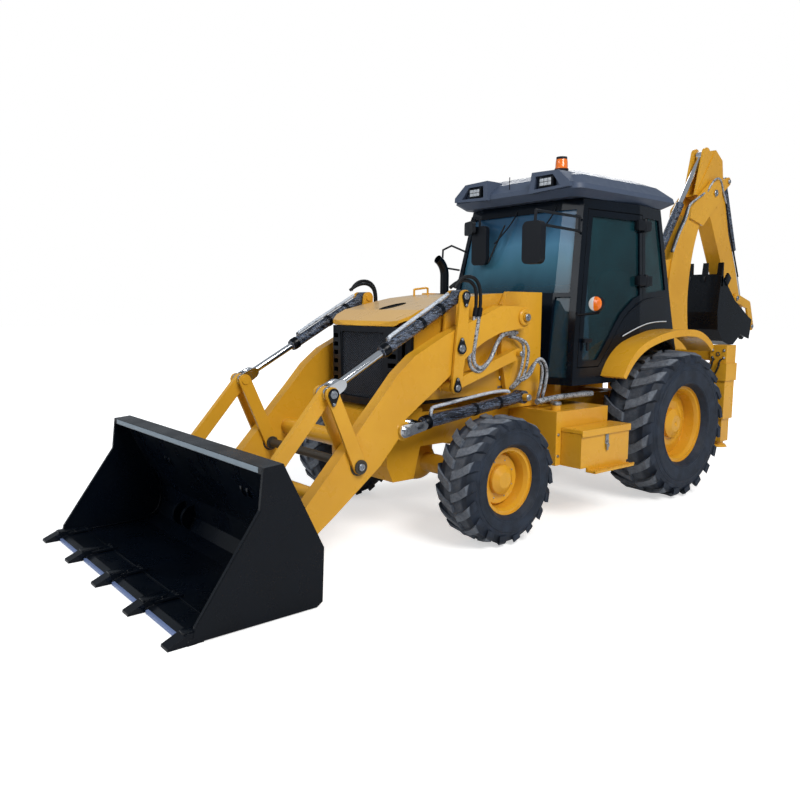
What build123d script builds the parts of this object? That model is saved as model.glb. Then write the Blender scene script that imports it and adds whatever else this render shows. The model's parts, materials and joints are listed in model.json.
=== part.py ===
from build123d import *
import math
import os

# Backhoe loader: front bucket on a parallel-lift linkage, cab, and a side-shift backhoe.
#
# Machine frame while building: X to the machine's left, Y to the rear with the rear axle at
# Y = 0, Z up from the ground.  Every node is moved by AXLE_Y at export, so that the origin ends
# up under the middle of the machine.  Side-view points are (y, z) pairs.

# ---------------------------------------------------------------- driving dimensions (mm)
AXLE_Y = 786.5            # rear axle behind the origin
WHEELBASE = 2250.0
FRONT_R, FRONT_W, FRONT_X = 460.0, 350.0, 895.0     # front tyre radius, width, centre plane
REAR_R, REAR_W, REAR_X = 655.0, 490.0, 850.0        # rear tyre
FRONT_RIM_R, REAR_RIM_R = 240.0, 340.0
KINGPIN_X = 690.0
RUN = 0.1                 # radial clearance of a pin in its bore
GAP = 8.0                 # side clearance between links

ARM_X = 570.0             # centre plane of each loader arm
ARM_T = 50.0              # half thickness of an arm
SIDE0, SIDE1 = ARM_T + GAP, ARM_T + GAP + 20.0      # lever plates, off the arm's plane
HEAD = SIDE1 + 8.0        # ends of the pins

# loader pivots in side view
ARM_PIVOT = (-1675.0, 1601.0)
LEVER_MID = (-2378.0, 1381.0)
LEVER_TOP = (-2343.0, 1752.0)
LEVER_LOW = (-2415.0, 1100.0)
LINK_REAR = (-1712.0, 1320.0)
GUIDE_LOW = (-3275.0, 635.0)
GUIDE_TOP = (-3490.0, 1125.0)
BUCKET_PIN = (-3770.0, 215.0)
PUSH_LOW = (-3916.0, 640.0)
LIFT_ROD = (-2890.0, 832.0)
LIFT_BASE = (-1640.0, 975.0)

BUCKET_W = 1122.0         # half width of the loader bucket

# backhoe pivots in side view, on the centre plane
SWING_Y = 1190.0
BOOM_FOOT = (1690.0, 1080.0)
BOOM_HEAD = (2080.0, 2975.0)
BOOM_CYL_BASE = (1340.0, 1190.0)
BOOM_CYL_ROD = (1165.0, 1830.0)
DIPPER_CYL_BASE = (1100.0, 2135.0)
DIPPER_CYL_ROD = (1945.0, 3382.0)
DIPPER_TIP = (2870.0, 1584.0)
GUIDE_PIN = (2750.0, 1815.0)
HOE_ROD_PIN = (3165.0, 1475.0)
HOE_PUSH_PIN = (2872.0, 1374.0)
HOE_CYL_BASE = (2470.0, 3150.0)
HOE_BUCKET_W = 220.0      # half width of the backhoe bucket

CAB_FLOOR, CAB_TOP = 1050.0, 2570.0
WALL = 45.0               # cab wall and door thickness
HOOD_W = 459.0            # half width of the hood


# ---------------------------------------------------------------- helpers
def poly(*points):
    """Face with straight sides."""
    return make_face(Polyline(*points, close=True))


def disc(centre, radius):
    return Pos(centre[0], centre[1]) * Circle(radius)


def bar(p, rp, q, rq):
    """Outline round two circles joined by their outer tangents."""
    d = math.dist(p, q)
    heading = math.atan2(q[1] - p[1], q[0] - p[0])
    spread = math.acos((rp - rq) / d)
    corners = []
    for side in (1, -1):
        a = heading + side * spread
        corners.append(((p[0] + rp * math.cos(a), p[1] + rp * math.sin(a)),
                        (q[0] + rq * math.cos(a), q[1] + rq * math.sin(a))))
    body = poly(corners[0][0], corners[0][1], corners[1][1], corners[1][0])
    return body + disc(p, rp) + disc(q, rq)


def along(p, q, t):
    """Point t millimetres from p towards q."""
    d = math.dist(p, q)
    return (p[0] + (q[0] - p[0]) * t / d, p[1] + (q[1] - p[1]) * t / d)


def slab(sketch, x0, x1):
    """Side-view outline made into a plate from x0 to x1."""
    return extrude(Plane.YZ.offset(x0) * sketch, x1 - x0)


def round_x(centre, radius, x0, x1):
    """Cylinder along X."""
    return slab(Circle(radius), x0, x1).moved(Location((0, centre[0], centre[1])))


def round_between(p, q, radius, x, t0=0.0, t1=None):
    """Cylinder in the plane at x, from t0 to t1 along the line p to q."""
    length = math.dist(p, q) if t1 is None else t1
    a, b = along(p, q, t0), along(p, q, length)
    start = Vector(x, a[0], a[1])
    way = Vector(0, b[0] - a[0], b[1] - a[1])
    return extrude(Plane(origin=start, z_dir=way) * Circle(radius), way.length)


def block(x0, x1, y0, y1, z0, z1):
    """Box from its limits."""
    return Pos((x0 + x1) / 2, (y0 + y1) / 2, (z0 + z1) / 2) * Box(x1 - x0, y1 - y0, z1 - z0)


def both(shape):
    """The shape on the left and its mirror image on the right."""
    return [shape, mirror(shape, about=Plane.YZ)]


def rod3(p, q, radius):
    """Round bar between two points in space."""
    p, q = Vector(*p), Vector(*q)
    return extrude(Plane(origin=p, z_dir=q - p) * Circle(radius), (q - p).length)


def tube(radius, *points):
    """Bent round bar through points in space, with round elbows."""
    shapes = [rod3(points[i], points[i + 1], radius) for i in range(len(points) - 1)]
    shapes += [Pos(*point) * Sphere(radius) for point in points[1:-1]]
    return fuse(*shapes)


def fuse(*shapes):
    result = shapes[0]
    for shape in shapes[1:]:
        result = result + shape
    return result


NODES = {}


def node(name, *shapes):
    solids = []
    for shape in shapes:
        solids.extend(shape.solids())
    NODES[name] = solids


# ---------------------------------------------------------------- wheels
def tyre(radius, width, rim_r, lugs, lug_h, metal):
    """Tyre about the X axis with slanted lugs in two staggered rows."""
    half = width / 2
    body_r = radius - lug_h
    side_r = (rim_r + body_r) / 2
    profile = poly((-half * 0.72, rim_r), (-half * 0.96, rim_r + 30), (-half, side_r),
                   (-half * 0.94, body_r - 55), (-half * 0.74, body_r - 8), (-half * 0.4, body_r),
                   (half * 0.4, body_r), (half * 0.74, body_r - 8), (half * 0.94, body_r - 55),
                   (half, side_r), (half * 0.96, rim_r + 30), (half * 0.72, rim_r))
    casing = revolve(profile, Axis.X) - metal
    pitch = 2 * math.pi * radius / lugs
    w, bend, end = pitch * 0.19, pitch * 0.2, pitch * 0.62
    rubber = [casing]
    for side in (1, -1):
        outline = poly((side * 0.02 * half, -w), (side * 0.02 * half, w), (side * 0.45 * half, bend + w),
                       (side * 0.99 * half, end + w * 1.15), (side * 0.99 * half, end - w * 1.15),
                       (side * 0.45 * half, bend - w))
        section = poly((0, body_r - 70), (0, radius), (side * half * 0.06, radius), (side * half * 0.8, radius - 20),
                       (side * half * 0.97, radius - 48), (side * half * 1.1, radius - 90), (side * half * 1.1, body_r - 70))
        lug = extrude(outline, radius) & extrude(Plane.XZ * section, pitch, both=True)
        for i in range(lugs):
            turn = 360.0 * (i + (0.5 if side < 0 else 0)) / lugs
            rubber.append(Rot(turn, 0, 0) * lug)
    return rubber[0].fuse(*rubber[1:])


def rim(rim_r, inner_x, outer_x, disc_x, hub_r, hub_x):
    """Wheel rim about the X axis: flanges, well, dished disc and hub cap; outside is +X."""
    t = 14
    profile = poly((inner_x, rim_r - 2), (inner_x, rim_r - 34), (inner_x + 40, rim_r - 60),
                   (disc_x - 60, rim_r - 62), (disc_x - 20, hub_r + 60), (disc_x - 20, 0),
                   (hub_x - 14, 0), (hub_x, 22), (hub_x, hub_r * 0.55), (hub_x - 30, hub_r),
                   (disc_x + 10, hub_r), (disc_x + 10, hub_r + 70), (disc_x - 22, rim_r - 45),
                   (outer_x - 44, rim_r - 40), (outer_x - t, rim_r - 26), (outer_x - t, rim_r - 2),
                   (outer_x, rim_r - 2), (outer_x, rim_r + 18), (outer_x - 10, rim_r + 18),
                   (outer_x - 22, rim_r - 1), (inner_x + 12, rim_r - 1))
    return revolve(profile, Axis.X)


def wheel(name, x, y, radius, width, rim_r, lugs, lug_h, dish, hub_r):
    """One wheel of the left side, and its mirror image on the right."""
    half = width / 2
    metal = rim(rim_r, -half * 0.7, half * 0.72, dish, hub_r, dish + 70)
    rubber = tyre(radius, width, rim_r, lugs, lug_h, metal)
    for side, tag in ((1, "left"), (-1, "right")):
        place = Location((side * x, y, radius))
        r, m = (rubber, metal) if side > 0 else (mirror(rubber, about=Plane.YZ), mirror(metal, about=Plane.YZ))
        node(f"tyre_{name}_{tag}", r.moved(place))
        node(f"rim_{name}_{tag}", m.moved(place))


def wheels():
    wheel("front", FRONT_X, -WHEELBASE, FRONT_R, FRONT_W, FRONT_RIM_R, 18, 22, 20, 105)
    wheel("rear", REAR_X, 0, REAR_R, REAR_W, REAR_RIM_R, 20, 32, 60, 130)


def axles():
    """Rear axle with final drives, and the steered front axle with its knuckles."""
    hub_x = REAR_X - 20
    rear = fuse(Pos(0, 0, REAR_R) * Rot(0, 90, 0) * Cylinder(105, 2 * 520),
                Pos(0, 0, REAR_R) * Sphere(210),
                Pos(0, 0, REAR_R) * Rot(0, 90, 0) * Cylinder(150, 2 * (REAR_X - 190)),
                Pos(0, 0, REAR_R) * Rot(0, 90, 0) * Cylinder(60, 2 * hub_x))
    node("rear_axle", rear)
    z = FRONT_R
    beam = fuse(Pos(0, -WHEELBASE, z) * Rot(0, 90, 0) * Cylinder(75, 2 * (KINGPIN_X - 95)),
                Pos(0, -WHEELBASE, z) * Sphere(165),
                block(-90, 90, -WHEELBASE - 110, -WHEELBASE + 110, z + 60, z + 210))
    yokes = []
    for shape in both(fuse(block(KINGPIN_X - 130, KINGPIN_X - 92, -WHEELBASE - 60, -WHEELBASE + 60, z - 110, z + 110),
                           block(KINGPIN_X - 100, KINGPIN_X + 40, -WHEELBASE - 50, -WHEELBASE + 50, z + 82, z + 110),
                           block(KINGPIN_X - 100, KINGPIN_X + 40, -WHEELBASE - 50, -WHEELBASE + 50, z - 110, z - 82))):
        yokes.append(shape)
    node("front_axle", fuse(beam, *yokes))
    knuckle = fuse(Pos(KINGPIN_X, -WHEELBASE, z) * Cylinder(36, 150),
                   Pos((KINGPIN_X + FRONT_X) / 2 + 10, -WHEELBASE, z) * Rot(0, 90, 0) * Cylinder(55, FRONT_X - KINGPIN_X - 30),
                   block(KINGPIN_X - 20, KINGPIN_X + 20, -WHEELBASE, -WHEELBASE + 190, z - 20, z + 20))
    for shape, tag in zip(both(knuckle), ("left", "right")):
        node(f"knuckle_{tag}", shape)


# ---------------------------------------------------------------- chassis
def chassis():
    """Main rails, front nose, loader towers, cab mounts and the rear frame with its sleeves."""
    rail = slab(poly((-2760, 640), (-2760, 900), (-1800, 900), (-900, 900), (640, 900),
                     (640, 520), (-900, 520), (-1500, 640)) - disc((0, REAR_R), 156), 300, 350)
    nose = slab(poly((-2815, 520), (-2815, 900), (-2700, 930), (-2480, 930), (-2480, 705), (-2560, 400), (-2760, 400)),
                -350, 350)
    tower = slab(poly((-1800, 1300), (-1800, 1700), (-1740, 1800), (-1330, 1800), (-1330, 880), (-1700, 880)),
                 465, 505)
    bracket = block(340, 470, -1690, -1340, 880, 1000)
    pins = fuse(round_x(ARM_PIVOT, 32, 500, ARM_X + HEAD), round_x(LINK_REAR, 26, 500, ARM_X + HEAD - 20),
                round_x(LIFT_BASE, 30, 470, ARM_X + HEAD))
    cross = [block(-350, 350, y, y + 120, 560, 860) for y in (-1500, -700, 300)]
    mounts = both(block(340, 560, -1200, -1120, 900, CAB_FLOOR)) + both(block(340, 560, 200, 280, 900, CAB_FLOOR))
    saddle = block(-320, 320, -WHEELBASE - 150, -WHEELBASE + 150, FRONT_R + 210, 760)
    rear_axle_seat = both(block(300, 480, -130, 130, REAR_R + 156, 900))
    frame = fuse(nose, *both(rail), *both(tower), *both(bracket), *both(pins), *cross, *mounts, saddle, *rear_axle_seat)
    # rear slide frame between the stabilizer sleeves
    beams = [block(-905, 905, 705, 835, z, z + 90) for z in (610, 1190)]
    uprights = both(block(420, 480, 690, 835, 610, 1280)) + both(block(300, 480, 560, 706, 610, 900))
    rear = fuse(*beams, *uprights)
    sleeves = []
    for shape in both(stabilizer_sleeve()):
        sleeves.append(shape)
    tow_eye = block(-70, 70, -2870, -2790, 470, 500) - Pos(0, -2840, 485) * Cylinder(24, 60)
    rear_eye = block(-70, 70, 620, 706, 640, 670) - Pos(0, 660, 655) * Cylinder(24, 60)
    node("chassis_frame", fuse(frame, rear, *sleeves, tow_eye, rear_eye))


STAB_X0, STAB_X1, STAB_Y0, STAB_Y1 = 900.0, 1060.0, 690.0, 870.0


def stabilizer_sleeve():
    """Fixed square tube of one stabilizer with its collar."""
    outer = block(STAB_X0, STAB_X1, STAB_Y0, STAB_Y1, 640, 1340)
    collar = block(STAB_X0 - 12, STAB_X1 + 12, STAB_Y0 - 12, STAB_Y1 + 12, 1004, 1170)
    inside = block(STAB_X0 + 14, STAB_X1 - 14, STAB_Y0 + 14, STAB_Y1 - 14, 600, 1322)
    return (outer + collar) - inside


def stabilizers():
    leg = block(STAB_X0 + 20, STAB_X1 - 20, STAB_Y0 + 20, STAB_Y1 - 20, 420, 1290)
    # round foot with a flange under the square tube
    foot = Pos((STAB_X0 + STAB_X1) / 2, (STAB_Y0 + STAB_Y1) / 2) * fuse(
        Pos(0, 0, 405) * Cylinder(48, 40), Pos(0, 0, 377) * Cone(84, 66, 24))
    for shape, tag in zip(both(leg + foot), ("left", "right")):
        node(f"stabilizer_{tag}", shape)


def engine():
    node("engine_block", block(-260, 260, -2600, -1850, 940, 1480))


HOOD_LOW, HOOD_REAR = 1000.0, -1725.0
NOSE_PLAN = ((-HOOD_W, -2690), (-400, -2765), (-220, -2797), (0, -2806), (220, -2797), (400, -2765), (HOOD_W, -2690))


def hood():
    """Lifting hood with its grille, and the fixed cowl behind it."""
    crown = [(-2806, 1535), (-2775, 1572), (-2608, 1654), (-2360, 1708), (-2150, 1750), (-1900, 1779), (HOOD_REAR, 1788)]
    plan = extrude(poly(*NOSE_PLAN, (HOOD_W, -1400), (-HOOD_W, -1400)), 2500)
    shell = slab(poly(*crown, (HOOD_REAR, HOOD_LOW), (-2660, HOOD_LOW), (-2660, 1535)), -HOOD_W, HOOD_W) & plan
    inner = slab(poly((-2790, 1500), (-2760, 1556), (-2600, 1634), (-2352, 1688), (-2146, 1730), (-1898, 1759),
                      (-1700, 1768), (-1700, 900), (-2700, 900), (-2700, 1500)), -HOOD_W + 20, HOOD_W - 20)
    opening = Pos(0, -2485, 1700) * extrude(Ellipse(62, 118), 200, both=True)
    node("hood", shell - inner - opening)
    cowl = slab(poly((-1718, HOOD_LOW), (-1718, 1788), (-1440, 1794), (-1440, HOOD_LOW)), -455, 455)
    cowl_in = slab(poly((-1740, HOOD_LOW - 50), (-1740, 1766), (-1460, 1770), (-1460, HOOD_LOW - 50)), -435, 435)
    node("rear_cowl", cowl - cowl_in - Pos(-370, -1600, 1900) * Cylinder(39, 300))
    case = block(-HOOD_W, HOOD_W, -2900, -2668, 950, 1531) & plan
    room = block(-HOOD_W + 24, HOOD_W - 24, -2740, -2600, 974, 1507)
    face = extrude(Plane.XZ.offset(2765) * (poly((-250, 1000), (250, 1000), (270, 1490), (-270, 1490))), 60)
    vents = []
    for i in range(7):
        z = 1040 + 66 * i
        vents.append(extrude(Plane.XZ.offset(2740) * poly((310, z), (385, z), (385, z + 34), (310, z + 34)), 80))
    node("front_grille", fuse(case - room) - face - fuse(*vents, *[mirror(v, about=Plane.YZ) for v in vents]))
    ring = Circle(38) - Circle(33)
    riser = Pos(-370, -1600, 1760) * extrude(ring, 190)
    bend = revolve(Plane(origin=(-370, -1600, 1950)) * ring, Axis((-370, -1760, 1950), (1, 0, 0)), 62)
    stack = riser + bend
    node("exhaust_stack", stack)


# ---------------------------------------------------------------- cab
# height of each ring and its plan points from the front face to the rear face, left side
CAB_RINGS = ((CAB_FLOOR, ((540, -1275), (757, -1230), (770, -300), (690, 500))),
             (1650.0, ((512, -1215), (727, -1172), (750, -295), (670, 350))),
             (CAB_TOP, ((455, -1040), (634, -990), (700, -290), (645, 130))))
DOOR_Y = -235.0           # rear edge of the doors, where they are hinged


def cab_solid(inset):
    """Tapered cab body with its walls moved in by inset."""
    rings = []
    for z, left in CAB_RINGS:
        ring = list(left) + [(-x, y) for x, y in reversed(left)]
        face = make_face(Polyline(*ring, close=True))
        if inset:
            face = offset(face, amount=-inset, kind=Kind.INTERSECTION)
        rings.append(Plane.XY.offset(z) * face)
    return loft(rings, ruled=True)


def door_outline(shrink):
    """Side view of the door, its lower rear corner cut over the fender."""
    pts = ((-1165, 1190), (-880, 1190), (-800, 1275), (-725, 1360), (-600, 1510), (-525, 1592),
           (-357, 1707), (DOOR_Y, 1752), (DOOR_Y, 2490), (-945, 2490), (-1115, 1650))
    face = poly(*pts)
    return offset(face, amount=-shrink, kind=Kind.INTERSECTION) if shrink else face


def cab():
    outer, inner = cab_solid(0), cab_solid(WALL)
    shell = outer - inner
    floor = block(-800, 800, -1300, 520, CAB_FLOOR, CAB_FLOOR + 40)
    left = lambda sketch: slab(sketch, 450, 900)
    door_hole = left(door_outline(0))
    quarter = left(poly((-185, 1810), (-185, 2470), (85, 2470), (225, 1850)))
    front = extrude(Plane.XZ.offset(930) * poly((-648, 1800), (648, 1800), (588, 2480), (-588, 2480)), 500)
    low = extrude(Plane.XZ.offset(1000) * poly((525, 1110), (700, 1110), (660, 1765), (525, 1765)), 500)
    rear = extrude(Plane.XZ.offset(0) * poly((-580, 1850), (580, 1850), (560, 2480), (-560, 2480)), -600)
    cuts = [front, rear, low, mirror(low, about=Plane.YZ), door_hole, mirror(door_hole, about=Plane.YZ),
            quarter, mirror(quarter, about=Plane.YZ)]
    arch = round_x((0, REAR_R), 762, 585, 900)
    arch_skin = (round_x((0, REAR_R), 790, 560, 900) - arch) & outer
    keep_out = fuse(*both(arch))
    body = fuse(shell + (floor & outer), *both(arch_skin)) - keep_out
    for cut in cuts:
        body = body - cut
    node("cab_frame", body)
    pane = cab_solid(18) - cab_solid(24)
    panes = [pane & cut for cut in (front, rear, low, mirror(low, about=Plane.YZ), quarter,
                                    mirror(quarter, about=Plane.YZ))]
    node("cab_glass", *[p for p in panes])
    door = shell & left(door_outline(7))
    hole = left(door_outline(60))
    for shape, tag in zip(both(door - hole), ("left", "right")):
        node(f"door_{tag}", shape)
    for shape, tag in zip(both(pane & hole), ("left", "right")):
        node(f"door_glass_{tag}", shape)
    top = roof()
    dash = slab(poly((-1222, 1091), (-1110, 1091), (-1010, 1640), (-1116, 1640)), -260, 260)
    node("cab_console", fuse(dash, Pos(0, -940, 1700) * Rot(-30, 0, 0) * Torus(170, 15),
                             round_between((-1070, 1500), (-945, 1700), 28, 0),
                             Pos(0, -943, 1697) * Rot(-30, 0, 0) * Box(345, 40, 16),
                             block(-420, 420, 250, 330, CAB_FLOOR + 40.2, 1500)))
    node("seat", fuse(Pos(0, -400, 1190) * Cylinder(90, 200), block(-235, 235, -650, -170, 1290, 1410),
                      block(-215, 215, -205, -115, 1400, 2000)))
    fittings(top, cab_solid(0))


def roof():
    """Overhanging roof with a flared brim and two lamp pods at the front."""
    ring = lambda w, y0, y1, z, r: Plane.XY.offset(z) * (Pos(0, (y0 + y1) / 2) * RectangleRounded(2 * w, y1 - y0, r))
    rings = [ring(655, -1120, 190, CAB_TOP + 4, 90), ring(728, -1190, 300, 2628, 110), ring(722, -1185, 280, 2668, 110),
             ring(640, -1080, 130, 2755, 100), ring(470, -930, 20, 2822, 90)]
    shell = fuse(*[loft([rings[i], rings[i + 1]], ruled=True) for i in range(4)])
    for side in (1, -1):
        front = poly((side * 235, 2620), (side * 655, 2640), (side * 655, 2680), (side * 530, 2785), (side * 255, 2793))
        pod = extrude(Plane.XZ.offset(560) * front, 660)
        pod = pod & slab(poly((-1222, 2600), (-1205, 2800), (-1150, 2800), (-560, 2740), (-560, 2600)), -800, 800)
        mouth = extrude(Plane.XZ.offset(1165) * poly((side * 290, 2650), (side * 560, 2658), (side * 480, 2755), (side * 300, 2755)), 100)
        shell = shell + pod - mouth
    node("cab_roof", shell)
    return shell


def fittings(roof_shell, cab_outer):
    """Work lamps, beacon, indicators, and the mirrors on their arms."""
    lamps = both(block(330, 480, -1205, -1165, 2662, 2742)) + both(block(360, 500, 262, 330, 2600, 2680) - roof_shell)
    beacon = Pos(280, -850, 2842) * Cylinder(60, 40) + Pos(280, -850, 2912) * Cone(52, 46, 100)
    indicator = Pos(960, -1215, 1710) * Rot(90, 0, 0) * (Cylinder(58, 36) + Pos(0, 0, 24) * Cone(58, 38, 16))
    node("lamps", *lamps, beacon, *both(indicator))
    # left mirror on two arms that reach forward; the right one is folded in before the windscreen
    head = Pos(815, -1818, 2150) * Rot(90, 0, 0) * extrude(RectangleRounded(180, 310, 45), 27, both=True)
    arms = fuse(tube(11, (642, -1046, 2400), (700, -1130, 2400), (815, -1800, 2385), (815, -1816, 2240)),
                tube(11, (652, -1062, 2290), (700, -1130, 2290), (815, -1780, 2290), (815, -1816, 2270)),
                rod3((700, -1130, 2400), (700, -1130, 2290), 9))
    folded = Pos(-340, -1190, 2230) * Rot(90, 0, 0) * extrude(RectangleRounded(180, 344, 40), 22, both=True)
    wide = Pos(-452, -1215, 2392) * Rot(0, 0, -24) * Rot(90, 0, 0) * extrude(RectangleRounded(205, 120, 26), 16, both=True)
    hanger = fuse(tube(10, (-600, -1020, 2505), (-470, -1165, 2490), (-352, -1190, 2470), (-352, -1190, 2380)),
                  rod3((-470, -1165, 2490), (-470, -1208, 2400), 9))
    grab = tube(9, (-640, -1080, 2200), (-780, -1130, 2262), (-862, -1165, 2225), (-872, -1165, 2060), (-700, -1100, 2030))
    stalk = tube(10, (722, -1160, 1640), (770, -1200, 1620), (960, -1190, 1640), (960, -1190, 1700))
    node("mirrors", fuse(head, arms) - cab_outer, fuse(folded, wide, hanger) - cab_outer, grab - cab_outer,
         *both(stalk - cab_outer - indicator))


def fenders():
    """Curved mudguard over each rear wheel, fixed to the cab's wall."""
    top = [ThreePointArc((-853, 1115), (-700, 1304), (-499, 1406)), ThreePointArc((-499, 1406), (-168, 1478), (247, 1488)),
           ThreePointArc((247, 1488), (430, 1440), (590, 1335))]
    low = [ThreePointArc((560, 1285), (415, 1380), (237, 1427)), ThreePointArc((237, 1427), (-160, 1417), (-475, 1348)),
           ThreePointArc((-475, 1348), (-665, 1252), (-812, 1100))]
    face = make_face([*top, Line((590, 1335), (560, 1285)), *low, Line((-812, 1100), (-853, 1115))])
    node("fenders", *both(slab(face, 735, 985) - cab_solid(0)))


def side_boxes():
    """Fuel and oil tanks with toolbox and step on each side."""
    tank = block(360, 850, -1530, -860, 446, 872)
    box = block(854, 1046, -1468, -838, 446, 715)
    hollow = block(866, 1034, -1450, -856, 460, 740)
    step = fuse(block(1046, 1120, -1380, -860, 408, 425), block(1030, 1046, -1380, -860, 408, 460))
    neck = Pos(770, -1440, 890) * Cylinder(38, 50)
    shapes = []
    for s in both(fuse(tank, box - hollow, step, neck, block(846, 858, -1460, -850, 446, 700))):
        shapes.append(s)
    node("side_tanks", *shapes)
    node("toolbox_lid", fuse(block(856, 1060, -1474, -832, 718, 745), block(1052, 1060, -1474, -832, 692, 720)))


# ---------------------------------------------------------------- loader linkage
def arm_outline():
    upper = [(-1690, 1684), (-1925, 1690), (-2504, 1478), (-2786, 1342), (-2936, 1225), (-3091, 1055),
             (-3231, 906), (-3348, 774), (-3826, 270)]
    lower = [(-3716, 152), (-3465, 328), (-3089, 612), (-2935, 775), (-2865, 911), (-2758, 985), (-2610, 1081),
             (-2496, 1159), (-2236, 1352), (-2099, 1426), (-1939, 1485), (-1690, 1517)]
    lug = disc(LIFT_ROD, 68)
    return poly(*upper, *lower) + disc(ARM_PIVOT, 85) + disc(BUCKET_PIN, 82) + lug


def loader_arms():
    x0, x1 = ARM_X - ARM_T, ARM_X + ARM_T
    plate = slab(arm_outline(), x0, x1)
    for centre, r in ((ARM_PIVOT, 32), (LEVER_MID, 32), (GUIDE_LOW, 28), (BUCKET_PIN, 30)):
        plate = plate - round_x(centre, r + RUN, x0 - 1, x1 + 1)
    tubes = [round_x((-3115, 745), 62, -x0 - 5, x0 + 5), round_x((-3480, 425), 52, -x0 - 5, x0 + 5)]
    node("loader_arms", fuse(*both(plate), *tubes))


def two_plates(sketch, x0=SIDE0, x1=SIDE1):
    """A pair of equal plates on both sides of the arm's plane."""
    return fuse(slab(sketch, ARM_X + x0, ARM_X + x1)), fuse(slab(sketch, ARM_X - x1, ARM_X - x0))


def washers(centre, radius, x0, x1):
    """Two discs at equal distances on both sides of the arm's plane."""
    return round_x(centre, radius, ARM_X + x0, ARM_X + x1), round_x(centre, radius, ARM_X - x1, ARM_X - x0)


def loader_links():
    # levelling levers: two plates joined by three pins
    lever = bar(LEVER_TOP, 46, LEVER_MID, 56) + bar(LEVER_MID, 56, LEVER_LOW, 43)
    outer, inner = two_plates(lever)
    pins = [round_x(LEVER_TOP, 28, ARM_X - HEAD, ARM_X + HEAD), round_x(LEVER_MID, 32, ARM_X - HEAD, ARM_X + HEAD),
            round_x(LEVER_LOW, 26, ARM_X - HEAD, ARM_X + HEAD)]
    node("levelling_levers", *both(fuse(outer, inner, *pins)))
    link = slab(bar(LINK_REAR, 42, LEVER_LOW, 38), ARM_X - 32, ARM_X + 32)
    link = link - round_x(LINK_REAR, 26 + RUN, ARM_X - 40, ARM_X + 40) - round_x(LEVER_LOW, 27.5, ARM_X - 40, ARM_X + 40)
    node("levelling_links", *both(link))
    # guide levers with pin heads at the top
    guide = bar(GUIDE_LOW, 50, GUIDE_TOP, 46)
    g1, g2 = two_plates(guide)
    bore = round_x(GUIDE_LOW, 28 + RUN, ARM_X - HEAD, ARM_X + HEAD)
    heads = [round_x(GUIDE_TOP, 30, ARM_X + SIDE1, ARM_X + HEAD), round_x(GUIDE_TOP, 30, ARM_X - HEAD, ARM_X - SIDE1)]
    node("guide_levers", *both(fuse(g1 + heads[0], g2 + heads[1]) - bore))
    # headed pins with thrust washers between arm and lever, joined across the machine by a through shaft
    ends = both(fuse(round_x(GUIDE_LOW, 28, ARM_X - HEAD, ARM_X + HEAD), *washers(GUIDE_LOW, 62, 51, 57),
                     *washers(GUIDE_LOW, 48, SIDE1 + 1, HEAD + 2)))
    node("guide_pins", fuse(*ends, round_x(GUIDE_LOW, 32, HEAD - ARM_X, ARM_X - HEAD)))
    push = slab(bar(GUIDE_TOP, 48, PUSH_LOW, 48), ARM_X - 22, ARM_X + 22)
    node("push_links", *both(push - round_x(GUIDE_TOP, 28 + RUN, ARM_X - 30, ARM_X + 30)))
    ends = both(fuse(round_x(BUCKET_PIN, 30, ARM_X - HEAD - 14, ARM_X + HEAD + 14),
                     *washers(BUCKET_PIN, 50, HEAD + 6, HEAD + 14)))
    node("bucket_pins", fuse(*ends, round_x(BUCKET_PIN, 48, HEAD + 10 - ARM_X, ARM_X - HEAD - 10)))


def loader_cylinders():
    # lift: base eye on the tower's pin, fork ears outside the arm
    barrel_l = 1042
    base, rod = LIFT_BASE, LIFT_ROD
    barrel = fuse(round_x(base, 52, ARM_X - 45, ARM_X + 45), round_between(base, rod, 46, ARM_X, 40, barrel_l))
    barrel = barrel - round_x(base, 30 + RUN, ARM_X - 60, ARM_X + 60) - round_between(base, rod, 29, ARM_X, 120, barrel_l + 5)
    node("lift_barrels", *both(barrel))
    length = math.dist(base, rod)
    shaft = round_between(base, rod, 28, ARM_X, 300, length - 165)
    yoke = slab(bar(along(base, rod, length - 178), 28, along(base, rod, length - 162), 28), ARM_X - SIDE1, ARM_X + SIDE1)
    ears = two_plates(bar(along(base, rod, length - 170), 32, rod, 46))
    heads = [round_x(rod, 30, ARM_X + SIDE1, ARM_X + HEAD), round_x(rod, 30, ARM_X - HEAD, ARM_X - SIDE1)]
    node("lift_rods", *both(fuse(shaft, yoke, *ears, *heads)))
    # tilt: base eye on the levelling lever, fork ears round the push link
    base, rod = LEVER_TOP, GUIDE_TOP
    length = math.dist(base, rod)
    barrel_l = 800
    barrel = fuse(round_x(base, 46, ARM_X - 40, ARM_X + 40), round_between(base, rod, 41, ARM_X, 35, barrel_l))
    barrel = barrel - round_x(base, 28 + RUN, ARM_X - 60, ARM_X + 60) - round_between(base, rod, 26, ARM_X, 90, barrel_l + 5)
    node("tilt_barrels", *both(barrel))
    shaft = round_between(base, rod, 25, ARM_X, 370, length - 105)
    yoke = slab(bar(along(base, rod, length - 110), 34, along(base, rod, length - 90), 34), ARM_X - 46, ARM_X + 46)
    ears = two_plates(bar(along(base, rod, length - 100), 38, rod, 46), 26, 46)
    pin = round_x(rod, 28, ARM_X - 52, ARM_X + 52)
    node("tilt_rods", *both(fuse(shaft, yoke, *ears, pin)))


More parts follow.
